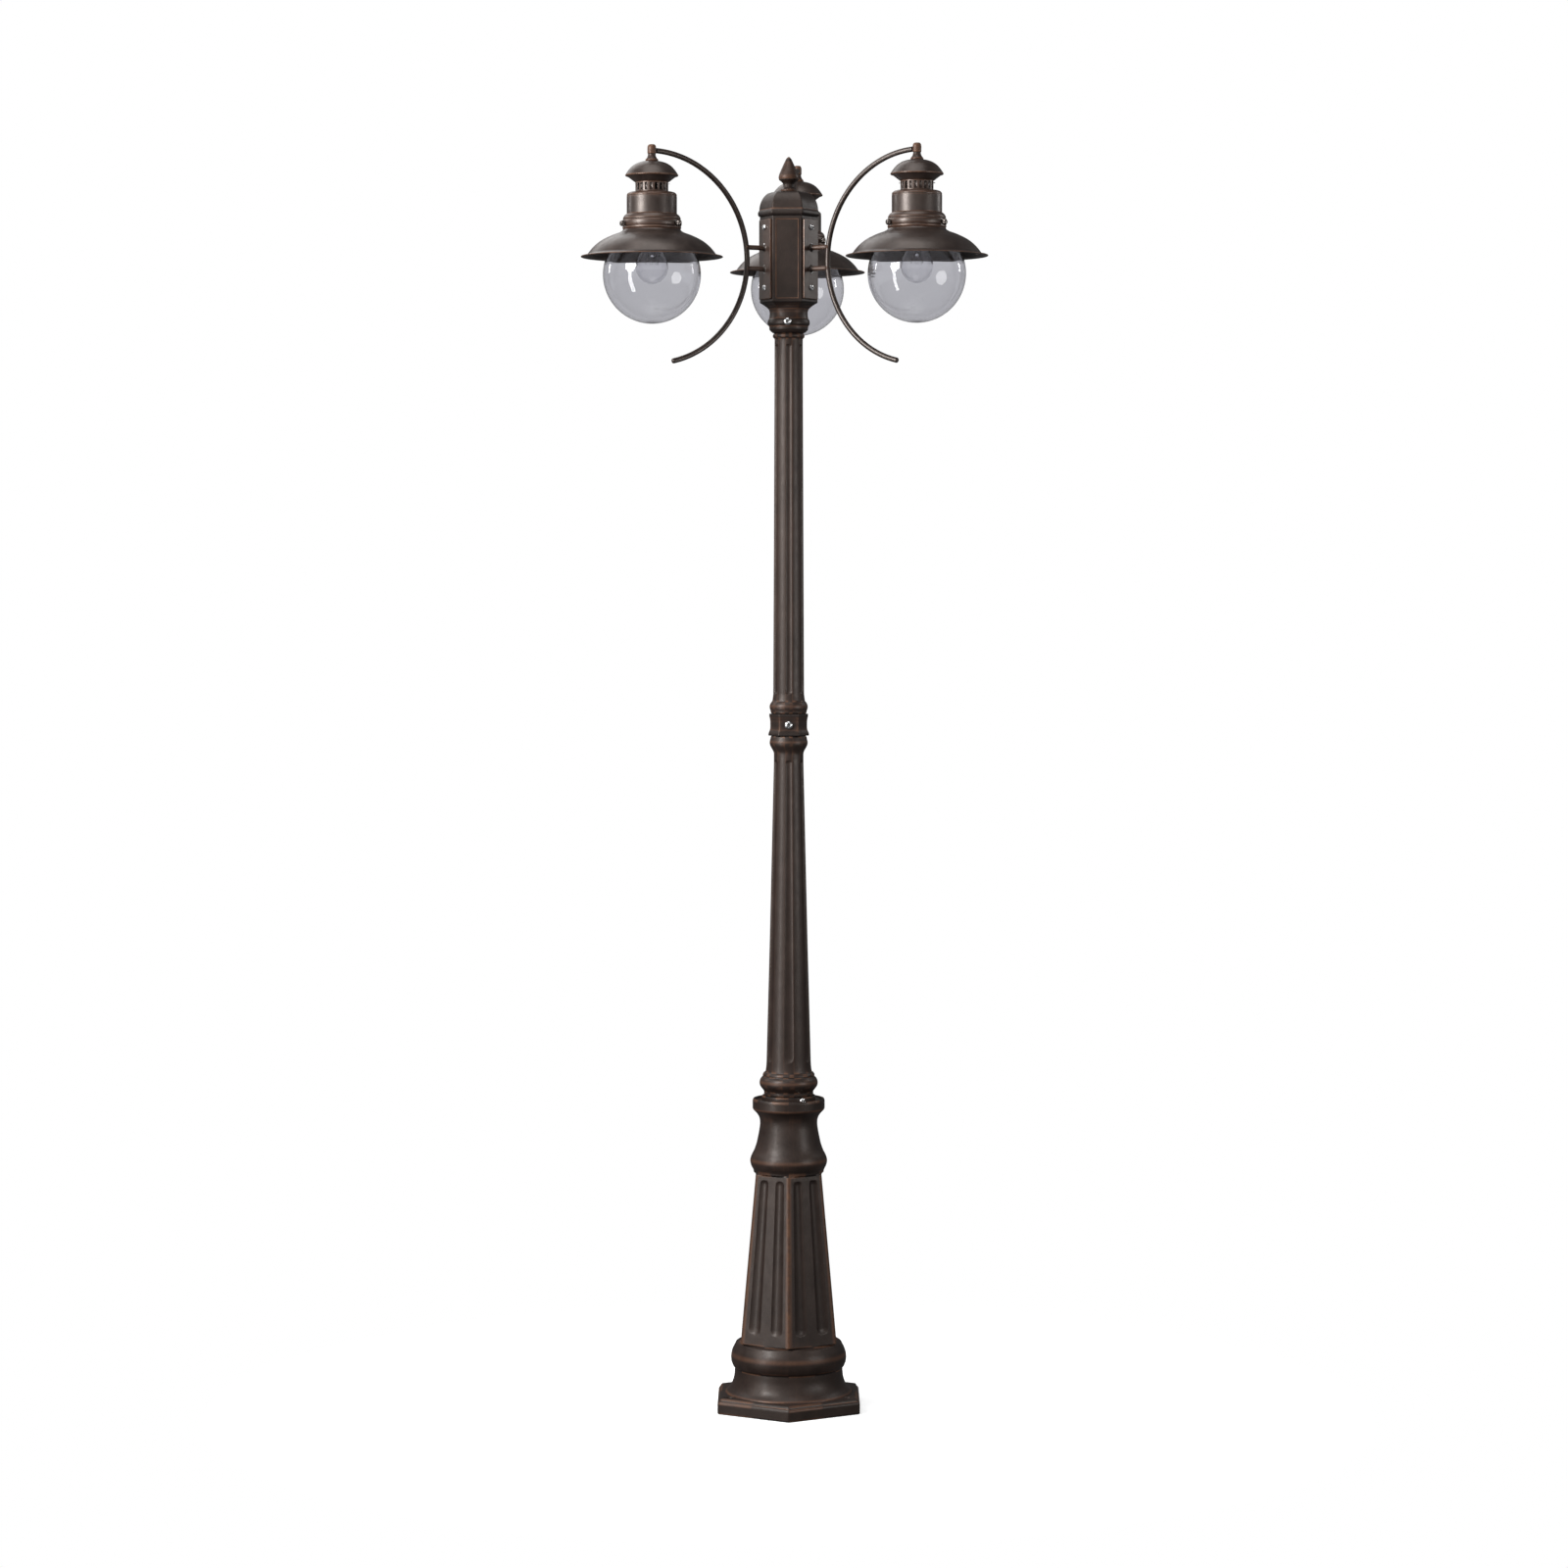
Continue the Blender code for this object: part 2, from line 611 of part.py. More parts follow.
def lampholder_mesh():
    """The ceramic lampholder and the threaded nipple that hangs it from the elbow."""
    profile = [
        (14, 30), (20, 30), (20, 62), (15, 72), (4.6, 76), (4.6, 186), (3, 186), (3, 60), (14, 57.5),
    ]
    return finish_mesh("lampholder", turned(profile, 12, True), "white_ceramic")


def thumbscrew_mesh():
    """A knurled screw whose tip bears on the globe's neck; it lies along +X."""
    profile = [(0, 46.4), (2, 46.4), (2, 56.5), (5.4, 56.5), (5.4, 62.5), (4, 64), (0, 64)]
    bm = turned(profile, 8, False)
    bmesh.ops.rotate(bm, matrix=Matrix.Rotation(math.pi / 2, 3, "Y"), verts=bm.verts)
    return finish_mesh("thumbscrew", bm, "dark_steel")


def lead_mesh():
    """The two-core lead from the head box through stub, arm and elbow to the lampholder."""
    height = STUB_HEIGHTS[0]
    meet = stub_angle()
    count = 8
    path = [Vector((-LAMP_REACH + 22, 0, -14)), Vector((-LAMP_REACH + 22, 0, height))]
    path += [arc_point(meet + (90 - meet) * i / count) for i in range(count + 1)]
    path += [Vector((0, 0, 64))]
    return finish_mesh("lamp_lead", lofted(tube_outlines(path, 1.3, 6), ring=False), "grey_plastic")


def make_lanterns():
    makers = {
        "arm_tube": arm_mesh, "arm_plate": plate_mesh, "elbow": elbow_mesh, "cap": cap_mesh,
        "vent_ring": vent_mesh,
        "housing": housing_mesh, "collar": collar_mesh, "shade": shade_mesh, "globe": globe_mesh,
        "lampholder": lampholder_mesh, "bulb": bulb_mesh, "lamp_lead": lead_mesh,
    }
    meshes = {name: maker() for name, maker in makers.items()}
    screw = thumbscrew_mesh()
    for number, angle in enumerate(ARM_ANGLES, 1):
        spot = outward(angle) * LAMP_REACH
        for name, mesh in meshes.items():
            place(f"{name}_{number}", mesh, spot.x, spot.y, LAMP_HEIGHT, angle)
        for letter, offset in zip("abc", (0, 120, 240)):
            height = LAMP_HEIGHT + THUMB_HEIGHT
            place(f"thumbscrew_{number}{letter}", screw, spot.x, spot.y, height, angle + offset)


def main():
    clear_scene()
    make_base()
    make_grommet()
    make_lower_pole()
    set_screw("base_set_screw", BASE_SCREW_ANGLE, 42.2, 50.5, BASE_SCREW_HEIGHT, 2.4, 6, 5)
    make_sleeve()
    set_screw("coupling_set_screw", SLEEVE_SCREW_ANGLE, 20.7, 31.8, SLEEVE_SCREW_HEIGHT, 2.9, 8, 5)
    make_upper_pole()
    make_neck()
    set_screw("head_set_screw", NECK_SCREW_ANGLE, 20.7, 39.3, NECK_SCREW_HEIGHT, 2.9, 7.5, 5)
    make_head_box()
    make_roof()
    make_finial()
    make_terminal_block()
    make_supply_cable()
    make_lanterns()


main()
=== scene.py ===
import math

import bmesh
import bpy
from mathutils import Matrix, Vector


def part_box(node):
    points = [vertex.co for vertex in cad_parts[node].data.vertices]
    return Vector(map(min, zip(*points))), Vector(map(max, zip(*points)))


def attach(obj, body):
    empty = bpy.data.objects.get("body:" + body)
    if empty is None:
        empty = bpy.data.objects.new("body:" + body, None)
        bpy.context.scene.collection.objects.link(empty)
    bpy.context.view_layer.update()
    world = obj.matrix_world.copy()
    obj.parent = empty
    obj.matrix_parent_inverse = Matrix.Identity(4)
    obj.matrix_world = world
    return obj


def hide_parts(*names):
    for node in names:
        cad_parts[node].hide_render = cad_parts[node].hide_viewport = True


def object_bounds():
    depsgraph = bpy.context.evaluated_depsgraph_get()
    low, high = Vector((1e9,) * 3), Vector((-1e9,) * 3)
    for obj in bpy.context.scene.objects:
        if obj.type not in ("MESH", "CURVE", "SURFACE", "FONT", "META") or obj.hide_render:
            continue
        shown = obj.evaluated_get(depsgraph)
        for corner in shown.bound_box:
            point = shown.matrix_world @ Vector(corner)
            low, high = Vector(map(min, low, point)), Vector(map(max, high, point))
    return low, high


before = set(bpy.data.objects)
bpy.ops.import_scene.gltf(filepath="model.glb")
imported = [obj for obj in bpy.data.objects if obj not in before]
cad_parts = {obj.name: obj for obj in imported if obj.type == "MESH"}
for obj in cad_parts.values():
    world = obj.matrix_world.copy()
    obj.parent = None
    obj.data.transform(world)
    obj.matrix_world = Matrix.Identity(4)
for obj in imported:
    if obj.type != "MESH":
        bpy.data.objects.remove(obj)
cadLow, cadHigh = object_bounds()
mm = 0.001
print("frame loaded:", len(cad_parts), "nodes")


# sizes below are in millimetres; each piece that replaces a node is checked against that node's box
capLow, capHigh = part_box("cap_1")
headTurn = math.degrees(math.atan2(capLow.y + capHigh.y, capLow.x + capHigh.x)) - 90.0
headPlace = Matrix.Rotation(math.radians(headTurn), 4, "Z")

lampPlaces = {}
for lamp in (1, 2, 3):
    low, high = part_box(f"cap_{lamp}")
    centre = (low + high) / 2
    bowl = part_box(f"globe_{lamp}")[0].z + 122.5 * mm  # the lamp's own zero is the shade's rim
    around = Matrix.Rotation(math.atan2(centre.y, centre.x), 4, "Z")
    lampPlaces[lamp] = Matrix.Translation((centre.x, centre.y, bowl)) @ around


# ---- shaping helpers ----

def softened(points, closed=False, steps=4):
    # points are (radius, height, how much of the corner is rounded off, how hexagonal)
    made = []
    count = len(points)
    full = [tuple(p) + (0.4, 0.0)[len(p) - 2:] for p in points]
    spots = [Vector((p[0], p[3], p[1])) for p in full]
    for i, here in enumerate(spots):
        before = spots[i - 1] - here
        after = spots[(i + 1) % count] - here
        cut = min(full[i][2], before.length * 0.49, after.length * 0.49)
        if cut < 0.02 or (not closed and i in (0, count - 1)):
            made.append(here)
            continue
        start = here + before.normalized() * cut
        end = here + after.normalized() * cut
        for k in range(steps + 1):
            t = k / steps
            made.append(start * (1 - t) ** 2 + here * (2 * t * (1 - t)) + end * t ** 2)
    return made


def guarded(spots, closed, near=1.0, long=5.0):
    # a ring close to each end of a long flat, so that a rubbed edge doesn't spread across it
    made = []
    count = len(spots)
    for i, here in enumerate(spots):
        made.append(here)
        if not closed and i == count - 1:
            continue
        way = spots[(i + 1) % count] - here
        if way.length > long:
            made += [here + way.normalized() * near, here + way.normalized() * (way.length - near)]
    return made


def spunBody(points, closed=False, around=72, steps=4):
    # a rounded outline spun about +Z, remembering how hexagonal each ring should be
    bm = bmesh.new()
    facet = bm.verts.layers.float.new("facet")
    verts = []
    for spot in guarded(softened(points, closed, steps), closed):
        verts.append(bm.verts.new((spot.x, 0.0, spot.z)))
        verts[-1][facet] = spot.y
    pairs = list(zip(verts, verts[1:]))
    if closed:
        pairs.append((verts[-1], verts[0]))
    edges = [bm.edges.new(pair) for pair in pairs]
    bmesh.ops.spin(
        bm, geom=verts + edges, cent=(0, 0, 0), axis=(0, 0, 1),
        angle=math.tau, steps=around, use_merge=True,
    )
    bmesh.ops.remove_doubles(bm, verts=bm.verts, dist=1e-3)
    bmesh.ops.recalc_face_normals(bm, faces=bm.faces)
    return bm


def mirroredStops(half, width=60.0):
    # angles from 0 to width, the same on both sides of the middle
    return half + [width - a for a in reversed(half[:-1])][:-1]


def respace(bm, stops, first):
    # moves evenly spun rings of points to the listed angles in each sixth of the turn
    count = len(stops)
    for v in bm.verts:
        reach = math.hypot(v.co.x, v.co.y)
        if reach < 1e-4:
            continue
        index = round(math.degrees(math.atan2(v.co.y, v.co.x)) / (60.0 / count)) % (6 * count)
        angle = math.radians(first + 60.0 * (index // count) + stops[index % count])
        v.co.x = reach * math.cos(angle)
        v.co.y = reach * math.sin(angle)


def hexReach(corner, off, rounding):
    # distance from the axis to a hexagon's edge; off is the angle from the nearest corner
    off = abs(off)
    apothem = corner * math.cos(math.pi / 6)
    turn = math.pi / 6 - math.atan2(corner / 2 - rounding * math.tan(math.pi / 6), apothem)
    if off >= turn:
        return apothem / math.cos(math.pi / 6 - off)
    inner = corner - rounding / math.cos(math.pi / 6)
    return inner * math.cos(off) + math.sqrt(rounding ** 2 - (inner * math.sin(off)) ** 2)


def makeHexagonal(bm, first, rounding):
    facet = bm.verts.layers.float["facet"]
    for v in bm.verts:
        reach = math.hypot(v.co.x, v.co.y)
        if reach < 1e-4 or v[facet] <= 0.0:
            continue
        off = (math.degrees(math.atan2(v.co.y, v.co.x)) - first + 30.0) % 60.0 - 30.0
        target = hexReach(reach, math.radians(off), rounding)
        grow = 1.0 + (target / reach - 1.0) * v[facet]
        v.co.x *= grow
        v.co.y *= grow


def cutFlutes(bm, flutes, inside):
    # flutes = list of (centre angle, half width in degrees); hollows with round ends
    for v in bm.verts:
        reach = math.hypot(v.co.x, v.co.y)
        if reach < inside:
            continue
        angle = math.degrees(math.atan2(v.co.y, v.co.x))
        for centre, half, low, high, deep in flutes:
            off = (angle - centre + 180.0) % 360.0 - 180.0
            if abs(off) > half + 0.01:
                continue
            width = reach * math.radians(half)
            past = max(low + width - v.co.z, v.co.z - (high - width), 0.0)
            t = math.hypot(reach * math.radians(off), past) / width
            if t < 1.0:
                shrink = 1.0 - deep * (1.0 - t * t) ** 0.8 / reach
                v.co.x *= shrink
                v.co.y *= shrink
                break


def rungs(rows, heights):
    # adds plain rings at the given heights on straight lines between the listed rows
    made = []
    for row, after in zip(rows, rows[1:] + [None]):
        made.append(row)
        if after is None or abs(after[1] - row[1]) < 1e-6:
            continue
        for z in heights:
            t = (z - row[1]) / (after[1] - row[1])
            if 0.001 < t < 0.999:
                facet = row[3] if len(row) > 3 else 0.0
                made.append((row[0] + (after[0] - row[0]) * t, z, 0.0, facet))
    return made


def fluteHeights(low, high, lowWidth, highWidth, between):
    steps = (0.0, 0.03, 0.1, 0.22, 0.38, 0.58, 0.8, 1.0)
    heights = [low + lowWidth * s for s in steps] + [high - highWidth * s for s in steps]
    start, end = low + lowWidth, high - highWidth
    heights += [start + (end - start) * k / between for k in range(1, between)]
    return sorted(heights)


def markBendForWearAndShade(bm):
    # how sharply each point bends outwards (+) or inwards (-), for rubbed edges, for painted shade darkening the
    # creases and for a painted highlight tint on beads
    wearAndPaintedLight = bm.verts.layers.float.new("wearAndPaintedLight")
    bm.edges.index_update()
    bm.faces.index_update()
    bm.verts.index_update()
    areas = [f.calc_area() / len(f.verts) for f in bm.faces]
    turns = [e.calc_face_angle_signed(0.0) * e.calc_length() if len(e.link_faces) == 2 else 0.0
             for e in bm.edges]
    values = []
    for v in bm.verts:
        area = sum(areas[f.index] for f in v.link_faces)
        values.append(sum(turns[e.index] for e in v.link_edges) / (2.0 * max(area, 0.02)))
    for _ in range(2):
        values = [
            0.5 * values[v.index] + 0.5 * sum(values[e.other_vert(v).index] for e in v.link_edges)
            / max(len(v.link_edges), 1) for v in bm.verts
        ]
    for v in bm.verts:
        v[wearAndPaintedLight] = max(-1.5, min(1.5, values[v.index]))


def rubCorners(bm, first, low, high, half, amount):
    # marks a hexagonal body's upright corners as rubbed, half degrees to each side
    wearAndPaintedLight = bm.verts.layers.float["wearAndPaintedLight"]
    for v in bm.verts:
        if not low < v.co.z < high:
            continue
        off = abs((math.degrees(math.atan2(v.co.y, v.co.x)) - first + 30.0) % 60.0 - 30.0)
        if off < half:
            v[wearAndPaintedLight] = max(v[wearAndPaintedLight], amount * (1.0 - off / half) ** 0.7)


def highlightAndRubBands(bm, rings):
    # marks bands around a body as rubbed and as painted highlight bands, warm and partly copper; each is (height, half
    # width, amount)
    wearAndPaintedLight = bm.verts.layers.float["wearAndPaintedLight"]
    for v in bm.verts:
        for height, half, amount in rings:
            near = 1.0 - abs(v.co.z - height) / half
            if near > 0.0:
                v[wearAndPaintedLight] = max(v[wearAndPaintedLight], amount * near ** 0.7)


def finishedMesh(bm, name, crease=34.0, wornAndShaded=True, rubbed=None, rings=()):
    if wornAndShaded:
        markBendForWearAndShade(bm)
    if rubbed:
        rubCorners(bm, *rubbed)
    if rings:
        highlightAndRubBands(bm, rings)
    bmesh.ops.scale(bm, vec=(mm, mm, mm), verts=bm.verts)
    mesh = bpy.data.meshes.new(name)
    bm.to_mesh(mesh)
    bm.free()
    mesh.shade_smooth()
    if crease:
        mesh.set_sharp_from_angle(angle=math.radians(crease))
    return mesh


def joinedMesh(parts, name):
    # several finished meshes, already in place, as one piece
    bm = bmesh.new()
    for part in parts:
        bm.from_mesh(part)
    mesh = bpy.data.meshes.new(name)
    bm.to_mesh(mesh)
    bm.free()
    return mesh


def placedCopy(mesh, place):
    copy = mesh.copy()
    copy.transform(place)
    return copy


def showPiece(name, mesh, body, finish, nodes=(), place=None):
    mesh = placedCopy(mesh, place) if place is not None else mesh
    mesh.materials.clear()
    mesh.materials.append(finish)
    piece = bpy.data.objects.new(name, mesh)
    bpy.context.scene.collection.objects.link(piece)
    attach(piece, body)
    if nodes:
        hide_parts(*nodes)
        low = Vector([min(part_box(n)[0][k] for n in nodes) for k in range(3)])
        high = Vector([max(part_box(n)[1][k] for n in nodes) for k in range(3)])
        mine = [Vector([pick(v.co[k] for v in mesh.vertices) for k in range(3)]) for pick in (min, max)]
        miss = max(abs(c) for c in (*(mine[0] - low), *(mine[1] - high))) / mm
        if miss > 1.5:
            print(f"  {name} differs from its node by {miss:.1f} mm")
    return piece


def cutBy(mesh, cutter, name):
    # the mesh with the cutter's solid taken out of it
    body = bpy.data.objects.new(name, mesh)
    tool = bpy.data.objects.new(name + "Cutter", cutter)
    for item in (body, tool):
        bpy.context.scene.collection.objects.link(item)
    cut = body.modifiers.new("cut", "BOOLEAN")
    cut.operation = "DIFFERENCE"
    cut.solver = "EXACT"
    cut.object = tool
    bpy.context.view_layer.update()
    graph = bpy.context.evaluated_depsgraph_get()
    made = bpy.data.meshes.new_from_object(body.evaluated_get(graph))
    for item in (body, tool):
        bpy.data.objects.remove(item)
    made.name = name
    return made


# ---- materials ----

def emptyMaterial(name):
    material = bpy.data.materials.new(name)
    material.use_nodes = True
    tree = material.node_tree
    tree.nodes.clear()
    end = tree.nodes.new("ShaderNodeOutputMaterial")
    shader = tree.nodes.new("ShaderNodeBsdfPrincipled")
    tree.links.new(shader.outputs["BSDF"], end.inputs["Surface"])
    return material, tree, shader


def put(tree, kind, inputs=(), **settings):
    node = tree.nodes.new("ShaderNode" + kind)
    for key, value in settings.items():
        setattr(node, key, value)
    for key, value in dict(inputs).items():
        if isinstance(value, bpy.types.NodeSocket):
            tree.links.new(value, node.inputs[key])
        else:
            node.inputs[key].default_value = value
    return node


def noiseOf(tree, where, scale, detail=3.0, rough=0.55):
    return put(tree, "TexNoise", {"Vector": where, "Scale": scale, "Detail": detail,
                                  "Roughness": rough}).outputs["Fac"]


def ramp(tree, value, low, high, fromOut=0.0, toOut=1.0):
    return put(tree, "MapRange", {"Value": value, "From Min": low, "From Max": high,
                                  "To Min": fromOut, "To Max": toOut}, clamp=True).outputs["Result"]


def blendColour(tree, amount, first, second):
    node = put(tree, "Mix", {0: amount, 6: first, 7: second}, data_type="RGBA")
    return node.outputs[2]


def timesValue(tree, first, second):
    return put(tree, "Math", {0: first, 1: second}, operation="MULTIPLY").outputs[0]


def bumped(tree, shader, height, distance, strength=1.0, under=None):
    inputs = {"Height": height, "Distance": distance, "Strength": strength}
    if under is not None:
        inputs["Normal"] = under
    node = put(tree, "Bump", inputs)
    tree.links.new(node.outputs["Normal"], shader.inputs["Normal"])
    return node.outputs["Normal"]


def agedPaint(name, look):
    # dark brown paint, mottled, rubbed to copper on edges, with painted shade darkening its concave creases and a warm
    # painted highlight on convex beads
    material, tree, shader = emptyMaterial(name)
    where = put(tree, "TexCoord").outputs["Object"]
    patches = noiseOf(tree, where, look["patchScale"], 5.0, 0.6)
    grain = noiseOf(tree, where, look["grainScale"], 2.0, 0.5)
    streaks = noiseOf(tree, where, look["streakScale"], 4.0, 0.65)
    wearAndPaintedLight = put(tree, "Attribute", attribute_name="wearAndPaintedLight").outputs["Fac"]
    edge = ramp(tree, wearAndPaintedLight, look["edgeFrom"], look["edgeTo"])
    thin = ramp(tree, streaks, 0.36, 0.62)
    # copper rub on edges is wear; on the marked bands it is partly a painted highlight
    rub = timesValue(tree, timesValue(tree, edge, thin), look["rub"])
    # painted shade: concave creases and corners are darkened towards a near-black colour
    creaseShade = ramp(tree, wearAndPaintedLight, -0.02, -0.30, 0.0, look["creaseShade"])
    colour = blendColour(tree, ramp(tree, patches, 0.3, 0.7), look["dark"], look["light"])
    # warm brown on gently convex beads and the marked bands: partly rubbed paint, partly a painted highlight
    colour = blendColour(tree, ramp(tree, wearAndPaintedLight, 0.03, 0.14, 0.0, look["warmth"]), colour, look["warm"])
    colour = blendColour(tree, creaseShade, colour, look["creaseShadeColour"])
    colour = blendColour(tree, rub, colour, look["copper"])
    tree.links.new(colour, shader.inputs["Base Color"])
    gloss = ramp(tree, streaks, 0.3, 0.75, look["gloss"][0], look["gloss"][1])
    tree.links.new(gloss, shader.inputs["Roughness"])
    tree.links.new(timesValue(tree, rub, 0.7), shader.inputs["Metallic"])
    shader.inputs["Coat Weight"].default_value = look["coat"]
    shader.inputs["Coat Roughness"].default_value = 0.22
    shader.inputs["Specular IOR Level"].default_value = look["shine"]
    shader.inputs["Specular Tint"].default_value = look["sheen"]
    under = bumped(tree, shader, patches, look["wave"])
    bumped(tree, shader, grain, look["grainDepth"], 0.8, under)
    return material


# the near-black colour and its amount are painted shade for the creases; the warm brown is partly a painted highlight
# on beads
castLook = {
    "dark": (0.0105, 0.0062, 0.0050, 1), "light": (0.0235, 0.0145, 0.0115, 1), "copper": (0.155, 0.076, 0.043, 1),
    "creaseShadeColour": (0.007, 0.006, 0.006, 1), "warm": (0.072, 0.034, 0.021, 1), "warmth": 0.6, "shine": 0.36, "sheen": (1.0, 0.88, 0.81, 1), "patchScale": 24.0, "grainScale": 420.0, "streakScale": 70.0,
    "edgeFrom": 0.08, "edgeTo": 0.24, "rub": 0.55, "creaseShade": 0.7, "gloss": (0.40, 0.58), "coat": 0.06,
    "wave": 0.0005, "grainDepth": 0.00022,
}
sheetLook = dict(castLook, light=(0.029, 0.0203, 0.0172, 1), edgeFrom=0.14, edgeTo=0.5, shine=0.6, grainScale=900.0, grainDepth=0.00007,
                 wave=0.00018, gloss=(0.34, 0.48), rub=0.5, warmth=0.4, patchScale=34.0)
castPaint = agedPaint("agedCastPaint", castLook)
sheetPaint = agedPaint("agedSheetPaint", sheetLook)


def metalFinish(name, look):
    material, tree, shader = emptyMaterial(name)
    where = put(tree, "TexCoord").outputs["Object"]
    scuffs = noiseOf(tree, where, look["scuffScale"], 4.0, 0.6)
    wearAndPaintedLight = put(tree, "Attribute", attribute_name="wearAndPaintedLight").outputs["Fac"]
    colour = blendColour(tree, ramp(tree, scuffs, 0.35, 0.7), look["clean"], look["dull"])
    # painted shade: concave creases such as screw sockets are darkened towards a dark tone
    colour = blendColour(tree, ramp(tree, wearAndPaintedLight, -0.05, -0.5, 0.0, 0.75), colour, look["creaseShadeTone"])
    tree.links.new(colour, shader.inputs["Base Color"])
    shader.inputs["Metallic"].default_value = 1.0
    tree.links.new(ramp(tree, scuffs, 0.3, 0.75, *look["gloss"]), shader.inputs["Roughness"])
    bumped(tree, shader, scuffs, look["depth"])
    return material


brightSteel = metalFinish("brightScrewSteel", {
    "clean": (0.80, 0.80, 0.81, 1), "dull": (0.60, 0.60, 0.60, 1), "creaseShadeTone": (0.05, 0.045, 0.04, 1),
    "scuffScale": 900.0, "gloss": (0.10, 0.26), "depth": 0.00003,
})
darkSteel = metalFinish("darkThumbscrewSteel", {
    "clean": (0.20, 0.175, 0.16, 1), "dull": (0.11, 0.095, 0.085, 1), "creaseShadeTone": (0.02, 0.017, 0.015, 1),
    "scuffScale": 900.0, "gloss": (0.16, 0.32), "depth": 0.00003,
})
brassCap = metalFinish("nickelledBrass", {
    "clean": (0.76, 0.70, 0.58, 1), "dull": (0.55, 0.49, 0.38, 1), "creaseShadeTone": (0.05, 0.04, 0.03, 1),
    "scuffScale": 600.0, "gloss": (0.18, 0.34), "depth": 0.00003,
})
filamentWire = metalFinish("filamentWire", {
    "clean": (0.30, 0.29, 0.28, 1), "dull": (0.20, 0.19, 0.18, 1), "creaseShadeTone": (0.05, 0.05, 0.05, 1),
    "scuffScale": 1200.0, "gloss": (0.25, 0.4), "depth": 0.00001,
})


def glassFinish(name, look):
    material, tree, shader = emptyMaterial(name)
    where = put(tree, "TexCoord").outputs["Object"]
    ripples = noiseOf(tree, where, look["rippleScale"], 2.0, 0.5)
    dust = noiseOf(tree, where, look["dustScale"], 5.0, 0.7)
    colour = blendColour(tree, ramp(tree, ripples, 0.3, 0.7), look["tint"], look["tintDeep"])
    tree.links.new(colour, shader.inputs["Base Color"])
    shader.inputs["Transmission Weight"].default_value = 1.0
    shader.inputs["IOR"].default_value = look["ior"]
    tree.links.new(ramp(tree, dust, 0.5, 0.85, 0.0, look["dustRough"]), shader.inputs["Roughness"])
    bumped(tree, shader, ripples, look["ripple"])
    return material


globeGlass = glassFinish("clearGlobeGlass", {
    "tint": (0.93, 0.93, 0.945, 1), "tintDeep": (0.90, 0.90, 0.92, 1), "ior": 1.46,
    "rippleScale": 9.0, "dustScale": 60.0, "dustRough": 0.015, "ripple": 0.00003,
})
bulbGlass = glassFinish("clearBulbGlass", {
    "tint": (0.97, 0.97, 0.98, 1), "tintDeep": (0.94, 0.94, 0.96, 1), "ior": 1.56,
    "rippleScale": 30.0, "dustScale": 150.0, "dustRough": 0.02, "ripple": 0.0002,
})


def solidFinish(name, look):
    # ceramic, rubber and plastic: speckled colour, painted shade darkening the concave corners, fine bump
    material, tree, shader = emptyMaterial(name)
    where = put(tree, "TexCoord").outputs["Object"]
    specks = noiseOf(tree, where, look["speckScale"], 4.0, 0.6)
    wearAndPaintedLight = put(tree, "Attribute", attribute_name="wearAndPaintedLight").outputs["Fac"]
    colour = blendColour(tree, ramp(tree, specks, 0.35, 0.7), look["first"], look["second"])
    # painted shade: concave corners are darkened towards a dark tone
    colour = blendColour(tree, ramp(tree, wearAndPaintedLight, -0.03, -0.4, 0.0, 0.6), colour, look["creaseShadeTone"])
    tree.links.new(colour, shader.inputs["Base Color"])
    tree.links.new(ramp(tree, specks, 0.3, 0.7, *look["gloss"]), shader.inputs["Roughness"])
    bumped(tree, shader, specks, look["depth"])
    return material


ceramicFinish = solidFinish("glazedCeramic", {
    "first": (0.74, 0.73, 0.69, 1), "second": (0.66, 0.64, 0.59, 1), "creaseShadeTone": (0.25, 0.22, 0.19, 1),
    "speckScale": 180.0, "gloss": (0.12, 0.22), "depth": 0.00004,
})
rubberFinish = solidFinish("blackRubber", {
    "first": (0.014, 0.014, 0.014, 1), "second": (0.026, 0.025, 0.025, 1), "creaseShadeTone": (0.06, 0.05, 0.045, 1),
    "speckScale": 420.0, "gloss": (0.55, 0.75), "depth": 0.00008,
})
plasticFinish = solidFinish("greyPlastic", {
    "first": (0.30, 0.30, 0.29, 1), "second": (0.24, 0.24, 0.235, 1), "creaseShadeTone": (0.07, 0.06, 0.06, 1),
    "speckScale": 500.0, "gloss": (0.35, 0.5), "depth": 0.00004,
})
print("materials ready")


# ---- the base ----

# the rings are painted highlight bands on the torus, the vase bead and the other round beads, warm and partly copper
baseLook = {"cornerAt": -90.0, "plateRound": 5.0, "shaftRound": 6.0, "rubbed": (-90.0, 127.0, 443.5, 5.0, 0.26),
            "rings": [(102.0, 7.0, 0.16), (469.0, 6.0, 0.15), (565.5, 3.0, 0.17), (31.0, 2.5, 0.15)], "anchorReach": 128.0, "anchorHole": 6.0,
            "cableHole": 15.3, "cableOut": 50.0,
            "fluteHalf": 7.5, "fluteDeep": 3.4, "fluteLow": 148.0, "fluteHigh": 436.0}

